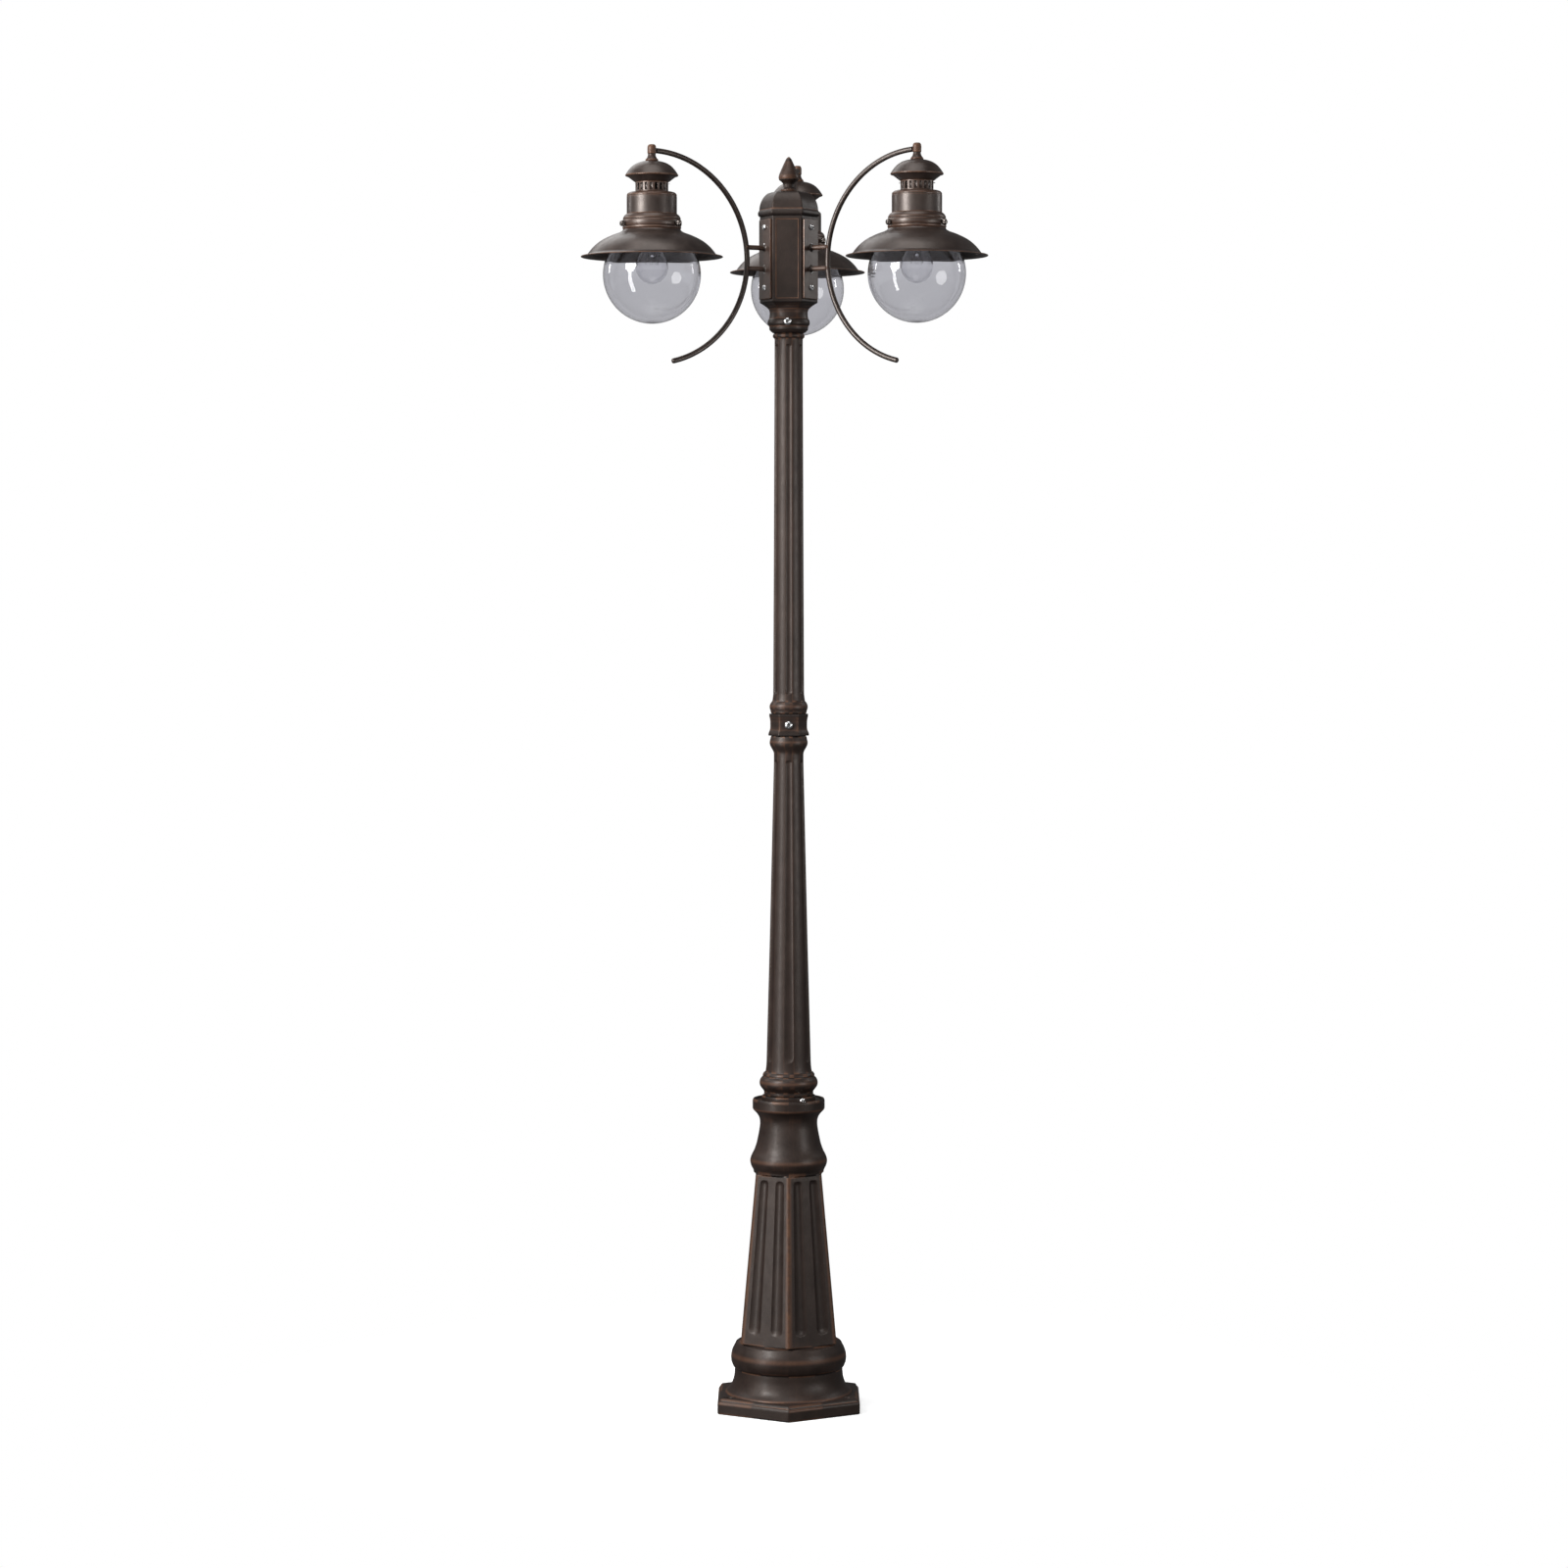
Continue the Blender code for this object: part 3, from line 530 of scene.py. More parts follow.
cornerStops = mirroredStops([0, 0.5, 1.1, 2, 3.3, 5, 6.6, 7.3, 7.6, 8.2, 9.4, 11, 13, 15, 17, 19, 20.6, 21.8,
                             22.4, 22.7, 23.6, 25.4, 27.6, 30])
plateRows = [
    (0, 0), (152.5, 0, 0.6, 1), (154, 1.5, 1.5, 1), (154, 20, 3, 1), (151.5, 23.2, 1.2, 1), (150.3, 23.4, 0.6, 1),
    (149.2, 26.6, 1.2, 1), (146.5, 29, 1.6, 1), (112, 29, 0.2, 1), (0, 28.9),
]
plateShape = spunBody(plateRows, around=6 * len(cornerStops))
respace(plateShape, cornerStops, baseLook["cornerAt"])
makeHexagonal(plateShape, baseLook["cornerAt"], baseLook["plateRound"])
plateMesh = finishedMesh(plateShape, "basePlate")

anchorCutter = bmesh.new()
for turn in (-150, -30, 90):
    spot = Matrix.Rotation(math.radians(turn), 4, "Z") @ Vector((baseLook["anchorReach"], 0, 14))
    bmesh.ops.create_cone(anchorCutter, segments=40, radius1=baseLook["anchorHole"], depth=60,
                          radius2=baseLook["anchorHole"], cap_ends=True, matrix=Matrix.Translation(spot))
bmesh.ops.create_cone(anchorCutter, segments=48, radius1=baseLook["cableHole"], radius2=baseLook["cableHole"],
                      depth=30, cap_ends=True, matrix=Matrix.Translation((0, baseLook["cableOut"], 0)))
plateMesh = cutBy(plateMesh, finishedMesh(anchorCutter, "anchorCutter", 0, False), "basePlate")

bodyRows = [
    (0, 28.8), (119.5, 28.8, 0.1), (118.6, 31, 2), (111, 38, 5), (105.5, 48, 6), (102.4, 60, 6), (101.8, 71, 2.5),
    (101.4, 75.5, 1.6), (104.6, 78.2, 2.2), (108.4, 87, 6), (109, 98.5, 7), (106.2, 110, 7), (101.6, 118.5, 4),
    (99.2, 123.5, 1.2), (97.5, 126, 0.5, 0.6), (103.5, 127.6, 1, 1), (101.4, 148, 0, 1), (100.4, 158, 0, 1),
    (72.8, 426, 0, 1), (71.9, 436, 0, 1), (71, 443.5, 0.5, 1), (66, 446, 0.8), (66.4, 450, 1.6), (70.5, 457.5, 3),
    (73.2, 467, 5), (70.4, 477, 6), (65.6, 485.5, 6), (60.6, 499, 12), (55.8, 522, 12), (53.6, 537, 6),
    (54.8, 549, 6), (60.4, 557.6, 4), (66.2, 563.2, 2), (67.9, 566, 1.4), (67.9, 581.5, 1.4), (66.4, 585, 1.2),
    (64.2, 584.8, 1.2), (60.5, 579.6, 3), (53, 578.4, 1.6), (50.6, 580, 1.4), (50.5, 589.8, 1), (49.2, 591, 0.8),
    (0, 591),
]
fluteRows = fluteHeights(baseLook["fluteLow"], baseLook["fluteHigh"], 13, 9.4, 10)
bodyShape = spunBody(rungs(bodyRows, fluteRows), around=6 * len(cornerStops))
respace(bodyShape, cornerStops, baseLook["cornerAt"])
makeHexagonal(bodyShape, baseLook["cornerAt"], baseLook["shaftRound"])
baseFlutes = [
    (baseLook["cornerAt"] + 60 * k + side, baseLook["fluteHalf"], baseLook["fluteLow"], baseLook["fluteHigh"],
     baseLook["fluteDeep"]) for k in range(6) for side in (-15, 15)
]
cutFlutes(bodyShape, baseFlutes, 60)
baseMesh = joinedMesh([plateMesh, finishedMesh(bodyShape, "baseBody", rubbed=baseLook["rubbed"],
                                                rings=baseLook["rings"])], "baseFoot")
showPiece("fluted_base", baseMesh, "base", castPaint, ["base_casting"])
print("base made")


# ---- the poles ----

poleStops = mirroredStops([0, 3, 6, 9, 11, 12.3, 13, 13.5, 14.6, 17, 21, 25.5, 30])
poleLook = {"fluteAt": -90.0, "fluteHalf": 13.0, "fluteDeep": 3.1}


def flutedPole(rows, low, high, inside, between):
    widths = [math.radians(poleLook["fluteHalf"]) * r for r in inside]
    shape = spunBody(rungs(rows, fluteHeights(low, high, widths[0], widths[1], between)),
                     around=6 * len(poleStops))
    respace(shape, poleStops, poleLook["fluteAt"])
    cutFlutes(shape, [(poleLook["fluteAt"] + 60 * k, poleLook["fluteHalf"], low, high, poleLook["fluteDeep"])
                      for k in range(6)], 24.0)
    return shape


lowerRows = [
    (0, 547), (41.5, 547), (41.5, 591.3), (45.4, 591.3, 0.6), (46.4, 593, 1), (46.4, 599, 1.5), (50, 603.5, 3),
    (54.2, 609, 4), (55.2, 615.8, 4), (53, 622.4, 3.5), (49.6, 626, 1.2), (48.6, 627.2, 0.8), (49, 630, 1.6),
    (47, 633.6, 1.6), (43.6, 635.6, 1.2), (42.2, 645, 4), (41.6, 655, 0), (41.3, 667, 0), (35.6, 880, 0),
    (28.9, 1168, 0), (27.8, 1212, 0), (27.7, 1223, 0), (27.7, 1237, 4), (32.6, 1245.5, 2.5), (35.4, 1251, 2.5),
    (35.9, 1256, 2.5), (34.6, 1261.5, 2), (33.4, 1266.6, 1), (32, 1268, 0.8), (20.4, 1268),
    (20.4, 1240), (0, 1240),
]
lowerShape = flutedPole(lowerRows, 655.0, 1223.0, (41.2, 28.0), 12)
# these rings are painted highlight bands on the pole's beads
showPiece("lower_fluted_pole", finishedMesh(lowerShape, "lowerFlutedPole", rings=[(616.5, 5, 0.15), (1257, 4, 0.14)]), "lower_pole", castPaint,
          ["lower_pole"])

upperRows = [
    (0, 1200), (19.8, 1200), (19.8, 1309.9), (32.4, 1309.9, 0.5), (33.6, 1311.5, 0.8), (34.2, 1315.6, 1.6),
    (36, 1320.4, 2.4), (35.6, 1325.8, 2.4), (33.2, 1330.6, 1.6), (30.6, 1333.2, 1.6), (29.8, 1339, 2.6),
    (28.9, 1346, 0), (28.8, 1358, 0), (27.7, 1610, 0), (26.4, 1940, 0), (26.3, 1988, 0), (26.3, 2000, 0),
    (26.3, 2010.4, 1.5), (29.6, 2013.4, 1.4), (29.8, 2017.6, 1.4), (27, 2020.9, 0.8), (20, 2020.9), (20, 2066, 0.6),
    (16.5, 2066, 0.4), (16.5, 2030), (0, 2030),
]
upperShape = flutedPole(upperRows, 1346.0, 2000.0, (28.8, 26.3), 14)
# this ring is a painted highlight band on the pole's bead
showPiece("upper_fluted_pole", finishedMesh(upperShape, "upperFlutedPole", rings=[(1324, 4, 0.14)]), "upper_pole", castPaint,
          ["upper_pole"])

hexStops = mirroredStops([0, 0.8, 1.8, 3.2, 5, 7.5, 12, 20, 30])
sleeveRows = [
    (20.8, 1268.3), (37.6, 1268.3, 0.4, 1), (38.7, 1269.6, 0.8, 1), (37.8, 1274, 1.6, 1), (35.4, 1279.4, 2, 1),
    (34.8, 1284, 2, 1), (34.9, 1296, 2, 1), (36, 1302.4, 1.4, 1), (36.8, 1305, 0.8, 1), (36.6, 1309.5, 0.6, 1),
    (20.8, 1309.5),
]
sleeveShape = spunBody(sleeveRows, closed=True, around=6 * len(hexStops))
respace(sleeveShape, hexStops, -120)
makeHexagonal(sleeveShape, -120, 2.2)
showPiece("hexagonal_sleeve", finishedMesh(sleeveShape, "hexagonalSleeve"), "lower_pole", castPaint,
          ["coupling_sleeve"])
print("poles made")


# ---- the head ----

neckRows = [
    (20.9, 2021.2), (29.4, 2021.2, 0.5), (33.4, 2024.2, 2), (36.2, 2027.4, 1.2), (36.5, 2033.4, 0.8), (37.4, 2034.6, 0.5),
    (39.4, 2037, 1.4), (39.6, 2041, 1.6), (38.6, 2045.6, 1.4), (36.8, 2047.4, 0.8), (35.7, 2053, 2), (35.4, 2060, 2),
    (37.5, 2065.4, 1.2, 0.3), (43.4, 2070.6, 1, 1), (50, 2075, 1, 1), (53.8, 2076.8, 0.4, 1), (20.9, 2076.8),
]
neckShape = spunBody(neckRows, closed=True, around=6 * len(hexStops))
respace(neckShape, hexStops, -120)
makeHexagonal(neckShape, -120, 2.5)
showPiece("head_collar", finishedMesh(neckShape, "headCollar"), "head", castPaint,
          ["head_neck"], headPlace)

boxLook = {"corner": 54.3, "low": 2077.0, "high": 2237.0, "panelWide": 43.0, "panelLow": 2083.0,
           "panelHigh": 2231.0, "frame": 3.4, "bead": 1.5, "sink": 1.3}
boxRows = [
    (0, 2077), (53.5, 2077, 0.4, 1), (54.3, 2077.8, 0.6, 1), (54.3, 2236.2, 0.6, 1), (53.5, 2237, 0.4, 1), (0, 2237),
]
boxShape = spunBody(boxRows, around=6 * len(hexStops))
respace(boxShape, hexStops, -120)
makeHexagonal(boxShape, -120, 1.6)
boxParts = [finishedMesh(boxShape, "boxBody")]


def framedPanel():
    # a thin raised bead round a sunk field, lying on the face at x = apothem
    apothem = boxLook["corner"] * math.cos(math.pi / 6)
    bm = bmesh.new()
    bmesh.ops.create_cube(bm, size=1.0)
    bmesh.ops.scale(bm, vec=(1.6, boxLook["panelWide"], boxLook["panelHigh"] - boxLook["panelLow"]), verts=bm.verts)
    front = [f for f in bm.faces if f.normal.x > 0.9]
    bmesh.ops.inset_region(bm, faces=front, thickness=boxLook["frame"], depth=0.0)
    bmesh.ops.translate(bm, vec=(-boxLook["sink"], 0, 0), verts=list(front[0].verts))
    rims = [e for e in bm.edges if max(v.co.x for v in e.verts) > 0.2 or all(v.co.x < 0 for v in e.verts)]
    rims = [e for e in rims if all(v.co.x > 0.75 for v in e.verts)]
    bmesh.ops.bevel(bm, geom=rims, offset=0.7, offset_type="OFFSET", segments=4, profile=0.5,
                    affect="EDGES", material=-1, clamp_overlap=True)
    flats = [f for f in bm.faces if f.calc_area() > 400]
    bmesh.ops.inset_individual(bm, faces=flats, thickness=0.8, depth=0.0)
    middle = (boxLook["panelLow"] + boxLook["panelHigh"]) / 2
    bmesh.ops.translate(bm, vec=(apothem + 0.2, 0, middle), verts=bm.verts)
    return bm


for turn in (-90, 30, 150):
    panel = framedPanel()
    bmesh.ops.rotate(panel, cent=(0, 0, 0), matrix=Matrix.Rotation(math.radians(turn), 3, "Z"), verts=panel.verts)
    boxParts.append(finishedMesh(panel, "boxPanel"))
boxMesh = joinedMesh(boxParts, "headBox")
showPiece("panelled_head_box", boxMesh, "head", castPaint, ["head_box"], headPlace)

roofRows = [
    (0, 2237.2), (54.6, 2237.2, 0.4, 1), (56.6, 2238.6, 0.8, 1), (58, 2241.2, 1.2, 1), (58, 2245.4, 1.2, 1),
    (56.2, 2248.4, 0.8, 1), (55.3, 2250, 0.6, 1), (55.2, 2254, 2, 1), (54, 2260, 4, 1), (51.6, 2267, 4, 1),
    (47, 2274.8, 4, 1), (40.5, 2281, 3, 1), (31, 2283.6, 1.5, 1), (0, 2284.1),
]
roofShape = spunBody(roofRows, around=6 * len(hexStops))
respace(roofShape, hexStops, -120)
makeHexagonal(roofShape, -120, 2.0)
showPiece("domed_roof", finishedMesh(roofShape, "domedRoof", 50), "head", castPaint,
          ["head_roof"], headPlace)

finialRows = [
    (0, 2283.9), (13.4, 2284.1, 0.5), (14.6, 2286, 1), (14, 2288.6, 1), (10.6, 2291.2, 1.2), (9.6, 2295, 2),
    (10.8, 2300, 2), (15.5, 2304.2, 2), (18.8, 2308, 2.2), (18.8, 2313, 2.4), (16.4, 2320, 5), (11.6, 2331, 5),
    (6, 2342.6, 4), (3, 2347.6, 2), (0, 2349.3),
]
finialMesh = finishedMesh(spunBody(finialRows, around=64), "pointedFinial")
showPiece("pointed_finial", finialMesh, "head", castPaint, (), headPlace)
print("head made")


# ---- one lantern, made once about its own axis and copied to its three places ----

def rowsMesh(rows, name, closed=False, around=96, crease=34.0, wornAndShaded=True, steps=4):
    return finishedMesh(spunBody(rows, closed, around, steps), name, crease, wornAndShaded)


elbowMesh = rowsMesh([
    (0, 174.8), (11.2, 174.8, 0.4), (12.1, 176, 0.7), (11.6, 178, 1), (9, 180.6, 1.6), (7.4, 184.4, 2), (7, 188, 1),
    (8, 189.4, 1), (8.1, 199, 2), (7.4, 203, 1.6), (5.4, 205.4, 1.4), (0, 205.9),
], "armElbow", around=48)

capMesh = rowsMesh([
    (5, 175), (12.6, 174.9, 1), (20, 173.4, 3), (28, 170.8, 4), (36.5, 165.4, 4), (43.4, 157.6, 3), (47.6, 151.2, 1),
    (49, 149.2, 0.7), (48.4, 147.4, 0.7), (44.4, 146.4, 1), (38.5, 142, 3), (33.4, 138, 2), (30.6, 136.2, 0.5),
    (27, 136.2, 0.4), (27, 138), (34, 150), (5, 160),
], "mushroomCap", closed=True)


def ventRing():
    look = {"slots": 20, "slotHalf": 2.35, "slotLow": 121.6, "slotHigh": 134.2}
    ring = rowsMesh([(27.4, 118.2), (30.2, 118.2, 0.3), (30.2, 136.1, 0.3), (27.4, 136.1)], "ventRing", True, 120)
    bm = bmesh.new()
    for k in range(look["slots"]):
        half = look["slotHalf"]
        top = bmesh.ops.create_cone(bm, segments=20, radius1=half, radius2=half, depth=9, cap_ends=True)["verts"]
        bmesh.ops.rotate(bm, cent=(0, 0, 0), matrix=Matrix.Rotation(math.pi / 2, 3, "Y"), verts=top)
        bmesh.ops.translate(bm, vec=(0, 0, look["slotHigh"] - half), verts=top)
        foot = bmesh.ops.create_cube(bm, size=1.0)["verts"]
        bmesh.ops.scale(bm, vec=(9, 2 * half, 2), verts=foot)
        bmesh.ops.translate(bm, vec=(0, 0, look["slotLow"] + 1), verts=foot)
        hull = bmesh.ops.convex_hull(bm, input=top + foot)
        loose = [g for g in hull["geom_interior"] if isinstance(g, bmesh.types.BMVert)]
        bmesh.ops.delete(bm, geom=loose, context="VERTS")
        kept = [v for v in top + foot if v.is_valid]
        bmesh.ops.translate(bm, vec=(29, 0, 0), verts=kept)
        spin = Matrix.Rotation(math.tau * (k + 0.5) / look["slots"], 3, "Z")
        bmesh.ops.rotate(bm, cent=(0, 0, 0), matrix=spin, verts=kept)
    return cutBy(ring, finishedMesh(bm, "slotCutter", 0, False), "ventRing")


ventMesh = ventRing()

housingMesh = rowsMesh([
    (28, 118.1), (39.2, 118, 0.6), (42.6, 117, 1.2), (45.4, 114.6, 1.2), (46.1, 112, 0.6), (45.7, 110.8, 0.4),
    (46.1, 109.6, 0.5), (46.1, 79.6, 0.5), (46.1, 78, 0.3), (43.8, 78), (43.8, 110), (28, 115.5),
], "lampHousing", closed=True)

collarMesh = rowsMesh([
    (43.9, 77.7), (47.2, 77.7, 0.5), (50.2, 75.4, 2), (52.6, 71.4, 1.4), (53.2, 69, 0.6), (52.4, 67.6, 0.5),
    (54.2, 66.2, 0.8), (55, 63.4, 1.4), (55, 59, 1.4), (54.2, 56.4, 0.6), (53, 55.4, 0.5), (53.9, 54.2, 0.6),
    (53.9, 51.4, 0.8), (52.4, 50.1, 0.6), (49.6, 50.1), (49.6, 70), (43.9, 77.2),
], "globeCollar", closed=True)

shadeMesh = rowsMesh([
    (48.8, 49.7), (53, 49.7, 0.4), (54.4, 47, 2), (60, 43.6, 5), (72.4, 39.4, 8), (86, 33.2, 8), (97.7, 26.4, 8),
    (108.6, 16.6, 6), (115, 8.8, 3), (118.4, 4, 2.2), (122.5, 2, 2), (129.4, 1.1, 0.8), (130.9, 0.2, 0.7),
    (130.2, -1, 0.6), (124, -0.6, 2), (118, 1.9, 2), (113.8, 6.8, 3), (106.8, 15, 5), (96.6, 24, 8), (85, 30.8, 8),
    (71.6, 36.8, 7), (58, 41.2, 4), (50.4, 43.8, 1.4), (48.8, 45.4, 0.8),
], "lampShade", closed=True, around=128)


def globeShell():
    look = {"radius": 90.0, "centre": -32.5, "wall": 2.5, "neck": 46.0, "rim": 64.0, "rounds": 46}
    outer, inner = [], []
    for radius, rows in ((look["radius"], outer), (look["radius"] - look["wall"], inner)):
        throat = look["neck"] - (look["radius"] - radius)
        end = math.asin(throat / radius) - 0.05
        for k in range(look["rounds"] + 1):
            angle = math.pi - (math.pi - end) * k / look["rounds"]
            rows.append((radius * math.sin(angle) if k else 0.0, look["centre"] + radius * math.cos(angle), 0.0))
        rows[-1] = (rows[-1][0], rows[-1][1], 3.0)
        rows.append((throat, rows[-1][1] + 5.0, 3.0))
    outer += [(look["neck"], look["rim"] - 0.2, 1.0), (look["neck"] - 0.6, look["rim"], 0.8)]
    inner += [(look["neck"] - look["wall"], look["rim"] - 0.4, 0.8)]
    return spunBody(outer + list(reversed(inner)), False, 128)


globeMesh = finishedMesh(globeShell(), "glassGlobe", 0, False)

holderMesh = rowsMesh([
    (0, 57.5), (13.9, 57.5), (13.9, 30.6, 0.3), (15, 29.8, 0.5), (19.4, 29.8, 0.8), (20.2, 31.4, 0.7), (19.4, 33, 0.5),
    (19.4, 35, 0.4), (20.2, 36, 0.6), (20.2, 47, 0.6), (19, 48.4, 0.6), (19, 52, 0.6), (20, 53.4, 0.8), (20, 61, 1.6),
    (16.5, 68, 3), (14, 72, 1.2), (8, 75.4, 2), (4.6, 76.6, 0.5), (4.6, 174), (0, 174),
], "ceramicHolder", around=64)

bulbRows = [
    (0, -50), (7, -49.5, 3), (16, -45.8, 5), (24, -38.2, 5), (29.2, -27.6, 5), (30, -18, 5), (28, -7.6, 6),
    (23.4, 4, 7), (18, 14.4, 6), (14.6, 21.4, 3), (13.1, 25.8, 1), (13, 28.4),
]
bulbSkin = bulbRows + [(r - 0.8 if r > 1 else 0, z + (0.8 if z < -30 else 0.0), *rest)
                       for r, z, *rest in reversed(bulbRows)]
bulbMesh = rowsMesh(bulbSkin, "bulbSkin", False, 96, 0, False, 5)


def threadedCap():
    rows = [(0, 27.6), (12.2, 27.6, 0.4), (13.2, 28.6, 0.5)]
    for k in range(5):
        rows += [(13.2, 31.0 + 3.6 * k, 1.0), (12.2, 32.8 + 3.6 * k, 1.0)]
    rows += [(12.6, 49.2, 0.6), (9, 50.6, 0.8), (5.2, 51.6, 0.6), (4.6, 53.6, 0.8), (0, 54)]
    return rowsMesh(rows, "bulbCap", around=56)


bulbCapMesh = threadedCap()


def tubeAlong(spots, radius, segments=12):
    # a round bar through the listed spots, with closed ends
    curve = bpy.data.curves.new("bar", "CURVE")
    curve.dimensions = "3D"
    curve.bevel_depth = radius * mm
    curve.bevel_resolution = segments // 4
    curve.use_fill_caps = True
    spline = curve.splines.new("BEZIER")
    spline.bezier_points.add(len(spots) - 1)
    spline.resolution_u = 8
    for point, spot in zip(spline.bezier_points, spots):
        point.co = Vector(spot) * mm
        point.handle_left_type = point.handle_right_type = "AUTO"
    holder = bpy.data.objects.new("bar", curve)
    bpy.context.scene.collection.objects.link(holder)
    bpy.context.view_layer.update()
    made = bpy.data.meshes.new_from_object(holder.evaluated_get(bpy.context.evaluated_depsgraph_get()))
    bpy.data.objects.remove(holder)
    return made


# the glass stem and the wires inside the bulb
stemMesh = rowsMesh([
    (0, 27), (8.4, 27, 0.5), (5.6, 22, 2), (3, 15, 3), (2.4, 2, 1), (3.6, 0, 1), (2.4, -2.4, 1), (0, -3),
], "bulbStem", around=40, crease=0, wornAndShaded=False)
wireParts = [tubeAlong([(side * 3, 0, 20), (side * 6, 0, 8), (side * 13, 0, -14)], 0.35, 8) for side in (-1, 1)]
wireParts.append(tubeAlong([
    (13, 0, -14), (9, 4, -7), (5, 8, -15), (0, 10, -7), (-5, 8, -15), (-9, 4, -7), (-13, 0, -14),
], 0.28, 8))
wireParts += [tubeAlong([(0, 0, -2), (x * 0.5, y * 0.5, -4), (x, y, -7)], 0.25, 8) for x, y in ((9, 4), (0, 10), (-9, 4))]
wireMesh = joinedMesh(wireParts, "bulbWires")


def thumbscrew():
    # along +X: shank, a knurled head with rounded edges and a shallow dished end
    bm = spunBody([
        (0, 46.4), (1.9, 46.4, 0.3), (1.9, 55.9, 0.2), (3.6, 56, 0.3), (4.2, 56.6, 0.4), (5.2, 57.2, 0.5), (5.3, 61.6, 0.5),
        (4.6, 62.6, 0.5), (4, 63.6, 0.5), (2.6, 64, 0.5), (1.6, 63.4, 0.4), (0, 63.3),
    ], around=96)
    for v in bm.verts:
        if 57.1 < v.co.z < 61.8:
            turn = math.atan2(v.co.y, v.co.x)
            grow = 1.0 - 0.05 * (0.5 - 0.5 * math.cos(24 * turn))
            v.co.x *= grow
            v.co.y *= grow
    bmesh.ops.rotate(bm, cent=(0, 0, 0), matrix=Matrix.Rotation(math.pi / 2, 3, "Y"), verts=bm.verts)
    bmesh.ops.translate(bm, vec=(0, 0, 59), verts=bm.verts)
    return finishedMesh(bm, "thumbscrew")


thumbMesh = thumbscrew()


def bowedTube():
    look = {"radius": 5.0, "arc": 194.5, "from": 92.7, "to": 257.0, "steps": 96, "sides": 28}
    bm = bmesh.new()
    ring = bmesh.ops.create_circle(bm, segments=look["sides"], radius=look["radius"])["verts"]
    bmesh.ops.rotate(bm, cent=(0, 0, 0), verts=ring,
                     matrix=Matrix.Rotation(-math.radians(look["from"]) , 3, "Y"))
    start = math.radians(look["from"])
    bmesh.ops.translate(bm, verts=ring, vec=(look["arc"] * math.cos(start), 0, look["arc"] * math.sin(start)))
    sweep = math.radians(look["to"] - look["from"])
    spun = bmesh.ops.spin(bm, geom=bm.verts[:] + bm.edges[:], cent=(0, 0, 0), axis=(0, -1, 0),
                          angle=sweep, steps=look["steps"])["geom_last"]
    last = [g for g in spun if isinstance(g, bmesh.types.BMEdge)]
    end = math.radians(look["to"])
    tip = Vector((look["arc"] * math.cos(end), 0, look["arc"] * math.sin(end)))
    ahead = Vector((-math.sin(end), 0, math.cos(end)))
    for share, size in ((1.2, 0.97), (1.0, 0.86), (0.8, 0.66), (0.4, 0.36)):
        grown = bmesh.ops.extrude_edge_only(bm, edges=last)["geom"]
        verts = [g for g in grown if isinstance(g, bmesh.types.BMVert)]
        last = [e for e in {e for v in verts for e in v.link_edges} if all(v in verts for v in e.verts)]
        middle = sum((v.co for v in verts), Vector()) / len(verts)
        for v in verts:
            v.co = middle + (v.co - middle).normalized() * look["radius"] * size + ahead * share
    bmesh.ops.edgeloop_fill(bm, edges=last)
    bmesh.ops.edgeloop_fill(bm, edges=[e for e in bm.edges if e.is_boundary])
    bmesh.ops.recalc_face_normals(bm, faces=bm.faces)
    return finishedMesh(bm, "bowedTube", wornAndShaded=False)


tubeMesh = bowedTube()


def armPlate():
    look = {"far": -233.67, "near": -230.67, "half": 23.5, "low": -71.0, "high": 77.0,
            "stubs": (24.0, -15.0), "stubRadius": 4.5, "arc": 194.5}
    bm = bmesh.new()
    bmesh.ops.create_cube(bm, size=1.0)
    bmesh.ops.scale(bm, verts=bm.verts, vec=(look["near"] - look["far"], 2 * look["half"], look["high"] - look["low"]))
    bmesh.ops.translate(bm, verts=bm.verts, vec=((look["near"] + look["far"]) / 2, 0, (look["high"] + look["low"]) / 2))
    upright = [e for e in bm.edges if abs(e.verts[0].co.x - e.verts[1].co.x) > 1]
    bmesh.ops.bevel(bm, geom=upright, offset=2.5, offset_type="OFFSET", segments=5, profile=0.5,
                    affect="EDGES", material=-1)
    rim = [e for e in bm.edges if all(v.co.x > look["near"] - 0.1 for v in e.verts)]
    bmesh.ops.bevel(bm, geom=rim, offset=0.7, offset_type="OFFSET", segments=4, profile=0.5,
                    affect="EDGES", material=-1)
    flats = [f for f in bm.faces if f.calc_area() > 400]
    bmesh.ops.inset_individual(bm, faces=flats, thickness=0.9, depth=0.0)
    parts = [finishedMesh(bm, "armPlate")]
    for z in look["stubs"]:
        reach = math.sqrt(look["arc"] ** 2 - z * z) - 2.0
        foot = look["near"] - 0.5
        length = -reach - foot
        stub = spunBody([
            (0, 0), (8.2, 0), (7.4, 0.8, 0.5), (5.6, 2.2, 1), (4.6, 4.6, 2), (4.5, 8, 1), (4.5, length - 7, 1),
            (4.8, length - 4, 1.5), (6, length - 0.8, 0.6), (5.4, length, 0.3), (0, length),
        ], around=40)
        bmesh.ops.rotate(stub, cent=(0, 0, 0), matrix=Matrix.Rotation(math.pi / 2, 3, "Y"), verts=stub.verts)
        bmesh.ops.translate(stub, vec=(foot, 0, z), verts=stub.verts)
        parts.append(finishedMesh(stub, "armStub"))
    return joinedMesh(parts, "armPlateWithStubs")


plateWithStubs = armPlate()


